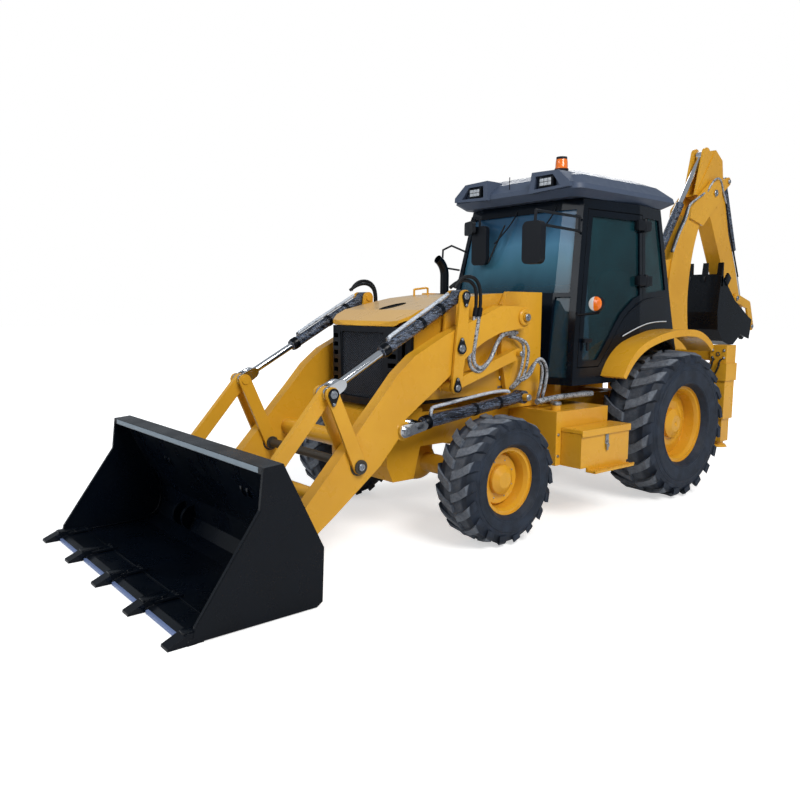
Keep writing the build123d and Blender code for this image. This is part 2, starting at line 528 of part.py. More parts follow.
def loader_bucket():
    """Shell with floor, curved back and top beam, side plates, ears, cutting edge and teeth."""
    w = BUCKET_W
    side = poly((-3891, 30), (-3879, 341), (-4132, 848), (-4250, 834), (-4275, 616), (-4646, 87), (-4664, 6), (-3930, 6))
    shell = poly((-4640, 6), (-4060, 6), (-3950, 50), (-3898, 150), (-3905, 300), (-4148, 800), (-4250, 834), (-4246, 812),
                 (-4170, 790), (-3925, 300), (-3918, 160), (-3962, 72), (-4064, 30), (-4640, 30))
    body = slab(shell, -w, w)
    plates = both(slab(side, w - 22, w))
    beam = slab(poly((-4132, 848), (-4250, 838), (-4250, 800), (-4150, 770)), -w, w)
    edge = slab(poly((-4640, 0), (-4640, 34), (-4690, 20), (-4690, 0)), -w, w)
    ears = []
    for off0, off1 in ((SIDE0 + 2, SIDE1 + 10), (-SIDE1 - 10, -SIDE0 - 2)):
        low = bar(BUCKET_PIN, 58, (-3930, 160), 90) - disc(BUCKET_PIN, 30 + RUN)
        ears.extend(both(slab(low, ARM_X + off0, ARM_X + off1)))
    for off0, off1 in ((28, 48), (-48, -28)):
        high = poly((-3925, 480), (-4040, 730), (-4080, 720), (-3960, 440)) + bar(PUSH_LOW, 50, (-4010, 600), 70)
        ears.extend(both(slab(high, ARM_X + off0, ARM_X + off1)))
    heads = both(round_x(PUSH_LOW, 28, ARM_X + 48, ARM_X + 56)) + both(round_x(PUSH_LOW, 28, ARM_X - 56, ARM_X - 48))
    teeth = []
    for i in range(5):
        x = (i - 2) * (w - 45) / 2
        teeth.append(slab(poly((-4600, 0), (-4600, 60), (-4680, 62), (-4788, 14), (-4790, 0)), x - 42, x + 42))
    node("loader_bucket", fuse(body, *plates, beam, edge, *ears, *heads, *teeth))


# ---------------------------------------------------------------- backhoe
def backhoe_mount():
    """Side-shift carriage with the swing bosses, and the swing post that carries the boom."""
    back = block(-330, 330, 838, 890, 580, 1310)
    hooks = [block(-330, 330, 712, 850, 1283, 1310), block(-330, 330, 712, 850, 580, 607)]
    bosses = []
    for z0, z1 in ((640, 720), (1130, 1210)):
        bosses.append(fuse(block(-88, 88, 885, SWING_Y, z0, z1), Pos(0, SWING_Y, (z0 + z1) / 2) * Cylinder(88, z1 - z0)))
    carriage = fuse(back, *hooks, *bosses)
    hole = Pos(0, SWING_Y, 900) * Cylinder(45 + RUN, 900)
    node("side_shift_carriage", carriage - hole)
    post = fuse(Pos(0, SWING_Y, 925) * Cylinder(90, 390), Pos(0, SWING_Y, 925) * Cylinder(45, 640),
                block(-70, 70, SWING_Y, 1420, 740, 1110),)
    cheeks = []
    cheek = poly((1300, 740), (1420, 740), (1700, 960), (1780, 1080), (1690, 1180), (1560, 1140), (1420, 1110), (1300, 1110)) - disc(BOOM_FOOT, 45 + RUN)
    for x0, x1 in ((-150, -112), (112, 150)):
        cheeks.append(slab(cheek, x0, x1))
    web = block(-150, 150, 1310, 1420, 740, 1110)
    lug = slab(bar(BOOM_CYL_BASE, 50, (1390, 1080), 60), -90, -45) + slab(bar(BOOM_CYL_BASE, 50, (1390, 1080), 60), 45, 90)
    pin = round_x(BOOM_CYL_BASE, 28, -90, 90)
    node("swing_post", fuse(post, web, *cheeks, lug, pin))


def boom():
    """Bowed box boom with a forked head."""
    front = ThreePointArc((1573, 2676), (1262, 2100), (1560, 1120))
    rear = ThreePointArc((1790, 1110), (1640, 1900), (1830, 2640))
    face = make_face([front, Line((1560, 1120), (1790, 1110)), rear, Line((1830, 2640), (1573, 2676))])
    foot = disc(BOOM_FOOT, 95) + poly((1600, 1080), (1780, 1080), (1790, 1200), (1560, 1200))
    core = slab(face + foot, -105, 105)
    head = poly((1573, 2660), (1590, 2770), (1730, 2900), (1990, 3090), (2200, 2900), (1850, 2600)) + disc(BOOM_HEAD, 148)
    head = head - disc(BOOM_HEAD, 40 + RUN)
    forks = [slab(head, 100, 128), slab(head, -128, -100)]
    neck = slab(poly((1573, 2600), (1610, 2700), (1740, 2640), (1830, 2600)), -105, 105)
    lugs = []
    for x0, x1 in ((63, 86), (-86, -63)):
        lugs.append(slab(bar(DIPPER_CYL_BASE, 50, (1300, 2100), 110), x0, x1))
        lugs.append(slab(bar(BOOM_CYL_ROD, 50, (1340, 1830), 90), x0, x1))
    pins = [round_x(DIPPER_CYL_BASE, 30, -92, 92)]
    foot_pin = round_x(BOOM_FOOT, 45, -158, 158)
    node("boom", fuse(core, neck, *forks, *lugs, *pins, foot_pin))


def dipper():
    """Box dipper with a tall head for its cylinder."""
    side = poly((2120, 3456), (2280, 3359), (2309, 3198), (2377, 2954), (2516, 2541), (2725, 2165), (2843, 1896),
                (2945, 1610), (2800, 1550), (2600, 1830), (2380, 2200), (2189, 2519), (2004, 2827), (1935, 2905), (1745, 2930))
    core = slab(side + disc(DIPPER_TIP, 80), -85, 85)
    horn = poly((1868, 3395), (1745, 2930), (2000, 2900), (2200, 3380), (2040, 3440)) + disc(DIPPER_CYL_ROD, 80)
    pocket = slab(poly((1700, 2880), (1600, 3500), (2080, 3500), (2060, 3300), (1930, 3000)), -46, 46)
    horns = [slab(horn, 50, 75), slab(horn, -75, -50)]
    body = fuse(core, *horns) - pocket
    body = body - round_x(DIPPER_TIP, 35 + RUN, -100, 100) - round_x(GUIDE_PIN, 30 + RUN, -100, 100)
    body = body + round_x(BOOM_HEAD, 40, -134, 134)
    lugs = [slab(bar(HOE_CYL_BASE, 48, (2330, 3080), 70), x0, x1) for x0, x1 in ((50, 74), (-74, -50))]
    pin = round_x(HOE_CYL_BASE, 28, -80, 80)
    node("dipper", fuse(body, *lugs, pin))


def hoe_cylinder(name, base, rod, barrel_r, rod_r, barrel_l, rod_t, base_r, ear):
    """Barrel and rod on the centre plane; the rod ends in a plain eye with no pin through it."""
    length = math.dist(base, rod)
    barrel = fuse(round_x(base, base_r + 26, -38, 38), round_between(base, rod, barrel_r, 0, base_r + 8, barrel_l))
    barrel = barrel - round_x(base, base_r + RUN, -50, 50) - round_between(base, rod, rod_r + 1, 0, 90, barrel_l + 5)
    node(f"{name}_barrel", barrel)
    shaft = round_between(base, rod, rod_r, 0, rod_t, length - 30)
    node(f"{name}_rod", fuse(shaft, round_x(rod, ear, -34, 34)))


def hoe_linkage():
    guide = bar(GUIDE_PIN, 52, (3060, 1735), 50) + bar((3060, 1735), 50, HOE_ROD_PIN, 52)
    plates = [slab(guide, x0, x1) for x0, x1 in ((92, 116), (-116, -92))]
    stubs = [round_x(HOE_ROD_PIN, 28, x0, x1) for x0, x1 in ((70, 122), (-122, -70))]
    node("hoe_guide_links", fuse(plates[0] + stubs[0], plates[1] + stubs[1], round_x(GUIDE_PIN, 30, -122, 122)))
    push = bar(HOE_ROD_PIN, 46, HOE_PUSH_PIN, 46)
    push = push - disc(HOE_PUSH_PIN, 26 + RUN)
    middle = bar(along(HOE_ROD_PIN, HOE_PUSH_PIN, 150), 28, along(HOE_ROD_PIN, HOE_PUSH_PIN, 190), 28)
    node("hoe_push_link", fuse(slab(push, 44, 68), slab(push, -68, -44), slab(middle, -50, 50)))


def hoe_bucket():
    w = HOE_BUCKET_W
    # side plate: mouth from the lip to the ears, round back towards the cab
    side = poly((2170, 2070), (2330, 1931), (2488, 1791), (2842, 1600), (2940, 1560), (2900, 1330), (2670, 1385),
                (2513, 1277), (2400, 1280), (2250, 1330), (2140, 1448), (2110, 1646), (2130, 1850))
    plates = [slab(side, w - 16, w), slab(side, -w, -w + 16)]
    shell = poly((2160, 2080), (2120, 1850), (2100, 1646), (2130, 1448), (2250, 1315), (2400, 1268), (2513, 1270), (2690, 1390), (2800, 1400),
                 (2800, 1420), (2680, 1412), (2505, 1292), (2400, 1290), (2262, 1336), (2150, 1456), (2122, 1646), (2142, 1850), (2182, 2080))
    body = slab(shell, -w, w)
    ear = bar(DIPPER_TIP, 70, HOE_PUSH_PIN, 56) + poly((2870, 1640), (2640, 1700), (2600, 1400), (2872, 1330))
    ears = [slab(ear, x0, x1) for x0, x1 in ((124, 147), (-147, -124))]
    stubs = [round_x(HOE_PUSH_PIN, 26, -152, 152)]
    hinge = round_x(DIPPER_TIP, 35, -152, 152)
    teeth = []
    for i in range(3):
        x = (i - 1) * 182
        teeth.append(slab(poly((2150, 1960), (2190, 2210), (2205, 2210), (2215, 1960)), x - 30, x + 30))
    node("hoe_bucket", fuse(body, *plates, *ears, *stubs, hinge, *teeth))


def backhoe():
    backhoe_mount()
    boom()
    dipper()
    hoe_cylinder("boom_cylinder", BOOM_CYL_BASE, BOOM_CYL_ROD, 38, 24, 585, 120, 28, 40)
    hoe_cylinder("dipper_cylinder", DIPPER_CYL_BASE, DIPPER_CYL_ROD, 46, 28, 825, 745, 30, 46)
    hoe_cylinder("hoe_bucket_cylinder", HOE_CYL_BASE, HOE_ROD_PIN, 45, 27, 830, 590, 28, 42)
    hoe_linkage()
    hoe_bucket()


def main():
    wheels()
    axles()
    chassis()
    stabilizers()
    engine()
    hood()
    cab()
    fenders()
    side_boxes()
    loader_arms()
    loader_links()
    loader_cylinders()
    loader_bucket()
    backhoe()
    os.makedirs("parts", exist_ok=True)
    shift = Location((0, AXLE_Y, 0))
    for name, solids in NODES.items():
        moved = [s.moved(shift) for s in solids]
        shape = moved[0] if len(moved) == 1 else Compound(children=moved)
        export_step(shape, f"parts/{name}.step")


main()
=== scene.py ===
"""Backhoe loader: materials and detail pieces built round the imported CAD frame.

Pieces are written in millimetres in the machine frame of the CAD source: x to the machine's left,
y to the rear from the rear axle, z up.  P() turns them into the row frame in metres.
"""
import json
import math

import bmesh
import bpy
from mathutils import Matrix, Vector


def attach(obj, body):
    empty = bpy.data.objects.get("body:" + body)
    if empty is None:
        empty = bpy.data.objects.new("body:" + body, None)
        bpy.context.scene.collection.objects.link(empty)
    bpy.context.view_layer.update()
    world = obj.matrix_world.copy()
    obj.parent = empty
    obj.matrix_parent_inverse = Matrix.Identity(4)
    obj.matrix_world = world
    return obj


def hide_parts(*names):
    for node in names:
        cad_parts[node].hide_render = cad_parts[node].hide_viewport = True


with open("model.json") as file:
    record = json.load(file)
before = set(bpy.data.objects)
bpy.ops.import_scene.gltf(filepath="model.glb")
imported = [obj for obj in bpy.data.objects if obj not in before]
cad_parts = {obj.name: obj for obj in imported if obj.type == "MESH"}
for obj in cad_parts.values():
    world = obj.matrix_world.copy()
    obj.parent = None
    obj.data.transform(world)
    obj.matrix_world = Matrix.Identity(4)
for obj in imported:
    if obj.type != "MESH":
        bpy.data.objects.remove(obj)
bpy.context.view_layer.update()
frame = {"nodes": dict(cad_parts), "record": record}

AXLE_Y = 0.7865             # rear axle in the row frame, metres
ARM_X = 570.0               # middle of each loader arm
HEAD = 86.0                 # from there to the pin heads
# pivots in side view (y, z)
ARM_PIVOT = (-1675, 1601)
LEVER_MID, LEVER_TOP, LEVER_LOW = (-2378, 1381), (-2343, 1752), (-2415, 1100)
LINK_REAR = (-1712, 1320)
GUIDE_LOW, GUIDE_TOP = (-3275, 635), (-3490, 1125)
BUCKET_PIN = (-3770, 215)
LIFT_ROD, LIFT_BASE = (-2890, 832), (-1640, 975)
BOOM_FOOT, BOOM_HEAD = (1690, 1080), (2080, 2975)
DIPPER_CYL_BASE = (1100, 2135)
DIPPER_TIP, GUIDE_PIN = (2870, 1584), (2750, 1815)
HOE_ROD_PIN, HOE_PUSH_PIN, HOE_CYL_BASE = (3165, 1475), (2872, 1374), (2470, 3150)


def P(x, y, z):
    """Machine millimetres to row-frame metres."""
    return Vector((x / 1000, y / 1000 + AXLE_Y, z / 1000))


GLASS_FOOT = 1.75           # height in metres from which the windscreen's painted reflection is graded
DOOR_POST = -0.2            # the windscreen's panes lie forward of this, metres


def srgb(code):
    """Linear RGBA from a hex colour."""
    parts = [int(code[i:i + 2], 16) / 255 for i in (1, 3, 5)]
    return [c / 12.92 if c <= 0.04045 else ((c + 0.055) / 1.055) ** 2.4 for c in parts] + [1.0]


# ---------------------------------------------------------------- materials
class Mat:
    """A Principled material and the few node helpers that it is built from."""

    def __init__(self, name, color, rough=0.4, metal=0.0, **sockets):
        self.mat = bpy.data.materials.new(name)
        self.mat.use_nodes = True
        self.nt = self.mat.node_tree
        self.bsdf = self.nt.nodes["Principled BSDF"]
        self.set("Base Color", color)
        self.set("Roughness", rough)
        self.set("Metallic", metal)
        for key, value in sockets.items():
            self.set(key.replace("_", " "), value)
        self.coords = self.nt.nodes.new("ShaderNodeTexCoord").outputs["Object"]

    def set(self, socket, value):
        self.bsdf.inputs[socket].default_value = value

    def link(self, out, socket):
        self.nt.links.new(out, self.bsdf.inputs[socket])

    def scaled(self, stretch):
        m = self.nt.nodes.new("ShaderNodeMapping")
        m.inputs["Scale"].default_value = stretch
        self.nt.links.new(self.coords, m.inputs["Vector"])
        return m.outputs["Vector"]

    def noise(self, scale, detail=3.0, rough=0.5, stretch=None, distortion=0.0):
        n = self.nt.nodes.new("ShaderNodeTexNoise")
        n.inputs["Scale"].default_value = scale
        n.inputs["Detail"].default_value = detail
        n.inputs["Roughness"].default_value = rough
        n.inputs["Distortion"].default_value = distortion
        self.nt.links.new(self.scaled(stretch) if stretch else self.coords, n.inputs["Vector"])
        return n.outputs["Fac"]

    def ramp(self, fac, stops):
        r = self.nt.nodes.new("ShaderNodeValToRGB")
        while len(r.color_ramp.elements) < len(stops):
            r.color_ramp.elements.new(0.5)
        for element, (at, color) in zip(r.color_ramp.elements, stops):
            element.position = at
            element.color = color if hasattr(color, "__len__") else (color, color, color, 1)
        self.nt.links.new(fac, r.inputs["Fac"])
        return r.outputs["Color"]

    def math(self, op, a, b=None):
        m = self.nt.nodes.new("ShaderNodeMath")
        m.operation = op
        for socket, value in zip(m.inputs, (a, b)):
            if isinstance(value, (int, float)):
                socket.default_value = value
            elif value is not None:
                self.nt.links.new(value, socket)
        return m.outputs[0]

    def mix(self, fac, a, b):
        m = self.nt.nodes.new("ShaderNodeMix")
        m.data_type = "RGBA"
        for socket, value in ((m.inputs["Factor"], fac), (m.inputs[6], a), (m.inputs[7], b)):
            if isinstance(value, (int, float, list, tuple)):
                socket.default_value = value
            else:
                self.nt.links.new(value, socket)
        return m.outputs[2]

    def bump(self, height, strength, distance=0.002, bevel=0.0):
        b = self.nt.nodes.new("ShaderNodeBump")
        b.inputs["Strength"].default_value = strength
        b.inputs["Distance"].default_value = distance
        self.nt.links.new(height, b.inputs["Height"])
        if bevel:
            v = self.nt.nodes.new("ShaderNodeBevel")
            v.samples = 4
            v.inputs["Radius"].default_value = bevel
            self.nt.links.new(v.outputs["Normal"], b.inputs["Normal"])
        self.link(b.outputs["Normal"], "Normal")

    def split(self, output="Object"):
        """X, Y and Z of the object coordinates, or of the surface normal."""
        source = self.coords
        if output == "Normal":
            source = self.nt.nodes.new("ShaderNodeNewGeometry").outputs["Normal"]
        s = self.nt.nodes.new("ShaderNodeSeparateXYZ")
        self.nt.links.new(source, s.inputs[0])
        return s.outputs

    def vary_rough(self, low, high, scale=6.0):
        self.link(self.ramp(self.noise(scale, 4.0), [(0.3, low), (0.7, high)]), "Roughness")


def paint(name, color, dark, rough=(0.24, 0.36), coat=0.2, peel=0.05, specular=0.3, painted_sky_sheen=None):
    """Sprayed enamel: a little colour drift, orange peel and softened edges; given a sheen colour, faces turned up are
    painted paler, a painted sky reflection.
    """
    m = Mat(name, color, Coat_Weight=coat, Coat_Roughness=0.12, Specular_IOR_Level=specular)
    drift = m.ramp(m.noise(1.7, 4.0, 0.6), [(0.32, dark), (0.62, color)])
    # painted sheen: faces turned up are mixed towards the pale colour, in place of the sky they reflect
    if painted_sky_sheen:
        drift = m.mix(m.ramp(m.split("Normal")["Z"], [(0.75, 0.0), (0.98, 0.62)]), drift, painted_sky_sheen)
    m.link(drift, "Base Color")
    m.vary_rough(*rough)
    m.bump(m.noise(260.0, 2.0), peel, 0.001, bevel=0.004)
    return m.mat


def wrapped(name, stops, scale, stretch, coat=0.4):
    """Metal or rubber wrapped in creased clear film: sharp creases in the bump, and streaks of painted sheen in the
    base colour.
    """
    m = Mat(name, srgb(stops[0][1]), rough=0.25, Coat_Weight=coat, Coat_Roughness=0.08, Specular_IOR_Level=0.4)
    folds_and_sheen = m.noise(scale, 6.0, 0.72, stretch=stretch, distortion=1.6)
    # painted sheen: the ramp's pale bands stand in for glints of light on the creased film
    m.link(m.ramp(folds_and_sheen, [(at, srgb(code)) for at, code in stops]), "Base Color")
    m.bump(folds_and_sheen, 0.6, 0.008)
    return m.mat


def tyre_material(name, axis, radius, lug_from):
    """Rubber whose lug faces are worn grey; the sidewall carries fine rings."""
    m = Mat(name, srgb("#1B1F27"), rough=0.62, Specular_IOR_Level=0.35)
    at = m.split()
    dy, dz = m.math("SUBTRACT", at["Y"], axis.y), m.math("SUBTRACT", at["Z"], axis.z)
    r = m.math("SQRT", m.math("ADD", m.math("MULTIPLY", dy, dy), m.math("MULTIPLY", dz, dz)))
    face = m.ramp(m.math("DIVIDE", r, radius), [(lug_from - 0.012, 0.0), (lug_from, 1.0)])
    grime = m.ramp(m.noise(9.0, 5.0, 0.65), [(0.35, srgb("#151D29")), (0.7, srgb("#263040"))])
    worn = m.ramp(m.noise(30.0, 4.0, 0.7), [(0.3, srgb("#4C535E")), (0.75, srgb("#767D87"))])
    m.link(m.mix(face, grime, worn), "Base Color")
    rings = m.math("SINE", m.math("MULTIPLY", r, 520.0))
    m.bump(m.math("ADD", m.math("MULTIPLY", rings, 0.12), m.noise(120.0, 3.0)), 0.25, 0.002, bevel=0.006)
    return m.mat


def glass_material(name, side, alpha):
    """Tinted pane; the windscreen, forward of the door posts, carries a painted reflection: a paler blue with a darker
    top band, graded by height.
    """
    m = Mat(name, srgb(side), rough=0.04, Alpha=alpha, Specular_IOR_Level=0.35)
    at = m.split()
    cloud = m.noise(1.6, 3.0, 0.6, stretch=(1, 1, 0.6))
    height = m.math("SUBTRACT", at["Z"], GLASS_FOOT)
    # painted reflection: the windscreen's colour is graded by height with clouds of noise, in place of the sky and
    # trees it reflects
    screen = m.ramp(m.math("ADD", height, m.math("MULTIPLY", cloud, 0.3)),
                    [(0.2, srgb("#1D3A49")), (0.45, srgb("#3F7188")), (0.62, srgb("#4F83A3")), (0.8, srgb("#2F5676"))])
    tint = m.ramp(m.noise(1.1, 3.0, 0.6), [(0.35, srgb("#081C22")), (0.65, srgb(side))])
    front = m.math("LESS_THAN", at["Y"], DOOR_POST)
    m.link(m.mix(front, tint, screen), "Base Color")
    m.bump(m.noise(2.5, 1.0), 0.03, 0.004)
    return m.mat


def simple(name, color, rough, metal=0.0, grain=180.0, strength=0.08, **sockets):
    """One tone with a fine grain and a drifting roughness."""
    m = Mat(name, color, rough, metal, **sockets)
    m.vary_rough(max(0.02, rough - 0.06), rough + 0.08, 12.0)
    m.bump(m.noise(grain, 3.0), strength, 0.001, bevel=0.002)
    return m.mat


YELLOW = paint("yellow_enamel", srgb("#DBA22B"), srgb("#D29826"))
# the hood's top carries a painted sky reflection: its upward faces are painted paler
HOOD_YELLOW = paint("hood_enamel", srgb("#DBA22B"), srgb("#D29826"), painted_sky_sheen=srgb("#D5BE9A"))
BLACK = paint("black_enamel", srgb("#050B14"), srgb("#03070E"),
              rough=(0.22, 0.36), coat=0.1, peel=0.03, specular=0.14)
CAB_BLACK = paint("cab_enamel", srgb("#07101B"), srgb("#050B13"),
                  rough=(0.18, 0.28), coat=0.12, peel=0.02, specular=0.12)
# the pale stops of these film ramps are painted sheen, the dark ones the film's own colour
BARREL = wrapped("wrapped_barrel", ((0.40, "#0B0F18"), (0.50, "#1B2230"), (0.56, "#6D7B93"), (0.60, "#10151F"),
                                    (0.70, "#39455A")), 6.0, (9, 1.0, 9))
HOSE_WRAP = wrapped("wrapped_hose", ((0.36, "#6E7681"), (0.44, "#1A1E26"), (0.52, "#C9CFD7"), (0.60, "#242932"),
                                     (0.68, "#A4ACB7")), 30.0, (1, 1, 1))
PIPE_WRAP = wrapped("wrapped_pipe", ((0.34, "#39414E"), (0.44, "#A9B3C1"), (0.55, "#D5DBE3"), (0.66, "#76808F")),
                    9.0, (7, 1, 7))
CHROME = simple("hard_chrome", srgb("#DADDE2"), 0.08, 1.0, grain=60.0, strength=0.01)
STEEL = simple("bare_steel", srgb("#9EA3AB"), 0.3, 1.0)
BLADE = simple("edge_steel", srgb("#7385B0"), 0.4, 0.2, grain=40.0, Specular_IOR_Level=0.3)
IRON = simple("cast_iron", srgb("#4A4640"), 0.55, 0.6, grain=90.0, strength=0.3)
ROOF = simple("roof_plastic", srgb("#455064"), 0.42, grain=420.0, strength=0.12, Specular_IOR_Level=0.3)
PLASTIC = simple("black_plastic", srgb("#10141B"), 0.45, grain=500.0, strength=0.2, Specular_IOR_Level=0.2)
RUBBER = simple("hose_rubber", srgb("#0C0F14"), 0.5, grain=300.0, strength=0.25, Specular_IOR_Level=0.3)
VINYL = simple("seat_vinyl", srgb("#14161B"), 0.5, grain=240.0, strength=0.5, Specular_IOR_Level=0.3)
ORANGE = simple("amber_lens", srgb("#F2761A"), 0.12, grain=70.0, strength=0.15, Coat_Weight=0.5)
CLEAR = simple("clear_lens", srgb("#E3E7EC"), 0.08, grain=90.0, strength=0.4, Coat_Weight=0.5)
WHITE = simple("white_line", srgb("#C9D0D8"), 0.35)
SEAM = simple("seam_line", srgb("#4E5A68"), 0.4)
# pale strip for the bucket's top beam: painted sheen
BEAM_SHEEN_PAINT = simple("painted_beam_sheen", srgb("#7F8C96"), 0.4)
# near-black for the hood's oval opening: painted shade
SHADE_DISH = simple("painted_shade_well", srgb("#06070A"), 0.8, Specular_IOR_Level=0.1)
MESH = simple("mesh_wire", srgb("#4B525E"), 0.4)
LED = simple("work_lens", srgb("#AEB4BB"), 0.2, grain=90.0, strength=0.4)
GLASS = glass_material("tinted_glass", "#1C454B", 0.86)
DOOR_GLASS = glass_material("door_glass", "#12363E", 0.8)

SLOT_MATERIALS = {
    "yellow_paint": YELLOW, "black_paint": BLACK, "cab_paint": CAB_BLACK, "roof_plastic": ROOF,
    "rod_chrome": CHROME, "bare_iron": IRON, "cab_glass": GLASS, "lamp_plastic": PLASTIC,
    "seat_vinyl": VINYL, "trim_plastic": PLASTIC,
}
NODE_SLOT = {row["node"]: row["material_slot"] for row in frame["record"]["subparts"]}
SPECIAL = {name: BARREL for name in NODE_SLOT if "barrel" in name}
SPECIAL.update(hood=HOOD_YELLOW, door_glass_left=DOOR_GLASS, door_glass_right=DOOR_GLASS)
# hub x and y, tyre radius (the hub's height), tyre width, lug height, rim, hub and nut circle radius, and the
# share of the tyre's radius at which its lug faces start
WHEELS = {
    "front": (895, -2250, 460, 350, 22, 240, 105, 140, 0.958),
    "rear": (850, 0, 655, 490, 32, 340, 130, 165, 0.957),
}
for end, (_, y, radius, *_, lug_from) in WHEELS.items():
    rubber = tyre_material("tyre_rubber_" + end, P(0, y, radius), radius / 1000, lug_from)
    SPECIAL["tyre_%s_left" % end] = SPECIAL["tyre_%s_right" % end] = rubber


def dress(obj, mat):
    obj.data.materials.clear()
    obj.data.materials.append(mat)


for name, obj in frame["nodes"].items():
    dress(obj, SPECIAL.get(name) or SLOT_MATERIALS[NODE_SLOT[name]])
    obj.data.shade_flat()


# ---------------------------------------------------------------- mesh tools
def piece(name, bm, mat, body, smooth=0.6):
    """A finished piece from a bmesh, riding on its body."""
    mesh = bpy.data.meshes.new(name)
    bmesh.ops.recalc_face_normals(bm, faces=bm.faces)
    bm.to_mesh(mesh)
    bm.free()
    mesh.materials.append(mat)
    if smooth:
        mesh.shade_smooth()
        mesh.set_sharp_from_angle(angle=smooth)
    obj = bpy.data.objects.new(name, mesh)
    bpy.context.scene.collection.objects.link(obj)
    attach(obj, body)
    return obj


def frame_of(way):
    """Rotation that takes Z to the given direction."""
    return Vector(way).normalized().to_track_quat("Z", "Y").to_matrix().to_4x4()


def lathe(bm, centre, way, profile, steps=28):
    """Turn a profile of (radius, height) pairs, in mm, about an axis."""
    place = Matrix.Translation(centre) @ frame_of(way)
    rings = []
    for radius, height in profile:
        if radius <= 0:
            rings.append([bm.verts.new(place @ Vector((0, 0, height / 1000)))])
            continue
        ring = []
        for i in range(steps):
            a = 2 * math.pi * i / steps
            spot = (radius * math.cos(a) / 1000, radius * math.sin(a) / 1000, height / 1000)
            ring.append(bm.verts.new(place @ Vector(spot)))
        rings.append(ring)
    for low, high in zip(rings, rings[1:]):
        for i in range(steps):
            j = (i + 1) % steps
            if len(low) == 1 and len(high) > 1:
                bm.faces.new((low[0], high[j], high[i]))
            elif len(high) == 1 and len(low) > 1:
                bm.faces.new((low[i], low[j], high[0]))
            elif len(low) > 1:
                bm.faces.new((low[i], low[j], high[j], high[i]))


def box(bm, low, high, chamfer=2.0, turn=None):
    """Chamfered block from its corners in machine mm; turn is a matrix about its centre."""
    a, b = P(*low), P(*high)
    centre, size = (a + b) / 2, b - a
    made = bmesh.ops.create_cube(bm, size=1.0)["verts"]
    bmesh.ops.scale(bm, vec=size, verts=made)
    edges = list({e for v in made for e in v.link_edges})
    if chamfer:
        made = bmesh.ops.bevel(bm, geom=edges, offset=chamfer / 1000, segments=2, affect="EDGES", profile=0.6)["verts"]
    if turn:
        bmesh.ops.transform(bm, matrix=turn, verts=made)
    bmesh.ops.translate(bm, vec=centre, verts=made)


def bolt(bm, centre, way, r=11.0):
    """Hexagon head on a washer."""
    lathe(bm, centre, way, [(r * 1.6, -0.5), (r * 1.6, 2.5), (r * 1.5, 3), (0, 3)], 20)
    lathe(bm, centre, way, [(r, 2.5), (r, 9.0), (r * 0.85, 10.5), (0, 10.5)], 6)


def tube(name, points, radius, mat, body, steps=10, order=3):
    """Smooth round hose or bar through points in machine mm, as a mesh."""
    curve = bpy.data.curves.new(name + "_path", "CURVE")
    curve.dimensions = "3D"
    curve.resolution_u = steps
    curve.bevel_depth = radius / 1000
    curve.bevel_resolution = 3
    curve.use_fill_caps = True
    spline = curve.splines.new("NURBS")
    spline.points.add(len(points) - 1)
    for target, point in zip(spline.points, points):
        target.co = (*P(*point), 1.0)
    spline.order_u = order
    spline.use_endpoint_u = True
    source = bpy.data.objects.new(name + "_path", curve)
    mesh = bpy.data.meshes.new_from_object(source)
    mesh.name = name
    bpy.data.objects.remove(source)
    mesh.materials.clear()
    mesh.materials.append(mat)
    mesh.shade_smooth()
    obj = bpy.data.objects.new(name, mesh)
    bpy.context.scene.collection.objects.link(obj)
    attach(obj, body)
    return obj


# ---------------------------------------------------------------- pins and bolts
def pin_cap(bm, x, pivot, side, r, tail=0):
    """Pin end: chamfered head and grease nipple, with the bolt of its keeper plate a tail's length off."""
    out = Vector((side, 0, 0))
    centre = P(x, *pivot)
    lathe(bm, centre, out,
          [(r - 3, -3), (r - 3, 8), (r - 7, 12), (r * 0.5, 12), (r * 0.45, 9), (7, 9), (6, 15), (0, 16)])
    if tail:
        bolt(bm, P(x, pivot[0], pivot[1] + tail) + out * 0.005, out, 7)


def keeper(bm, x, pivot, side, r, tail):
    """Teardrop plate that locks a pin: two discs joined by their tangents."""
    big, small, thick = r + 9, 14, 6
    tilt = math.asin((big - small) / abs(tail))
    way = 1 if tail > 0 else -1
    outline = [(big * math.cos(a), big * math.sin(a)) for a in
               (math.pi - tilt + (math.pi + 2 * tilt) * i / 24 for i in range(25))]
    outline += [(small * math.cos(a), abs(tail) + small * math.sin(a)) for a in
                (tilt + (math.pi - 2 * tilt) * i / 10 for i in range(11))]
    faces = [[bm.verts.new(P(x + side * h, pivot[0] + u, pivot[1] + way * w)) for u, w in outline]
             for h in (-1, thick)]
    for ring in faces:
        bm.faces.new(ring)
    for i in range(len(outline)):
        j = (i + 1) % len(outline)
        bm.faces.new((faces[0][i], faces[0][j], faces[1][j], faces[1][i]))


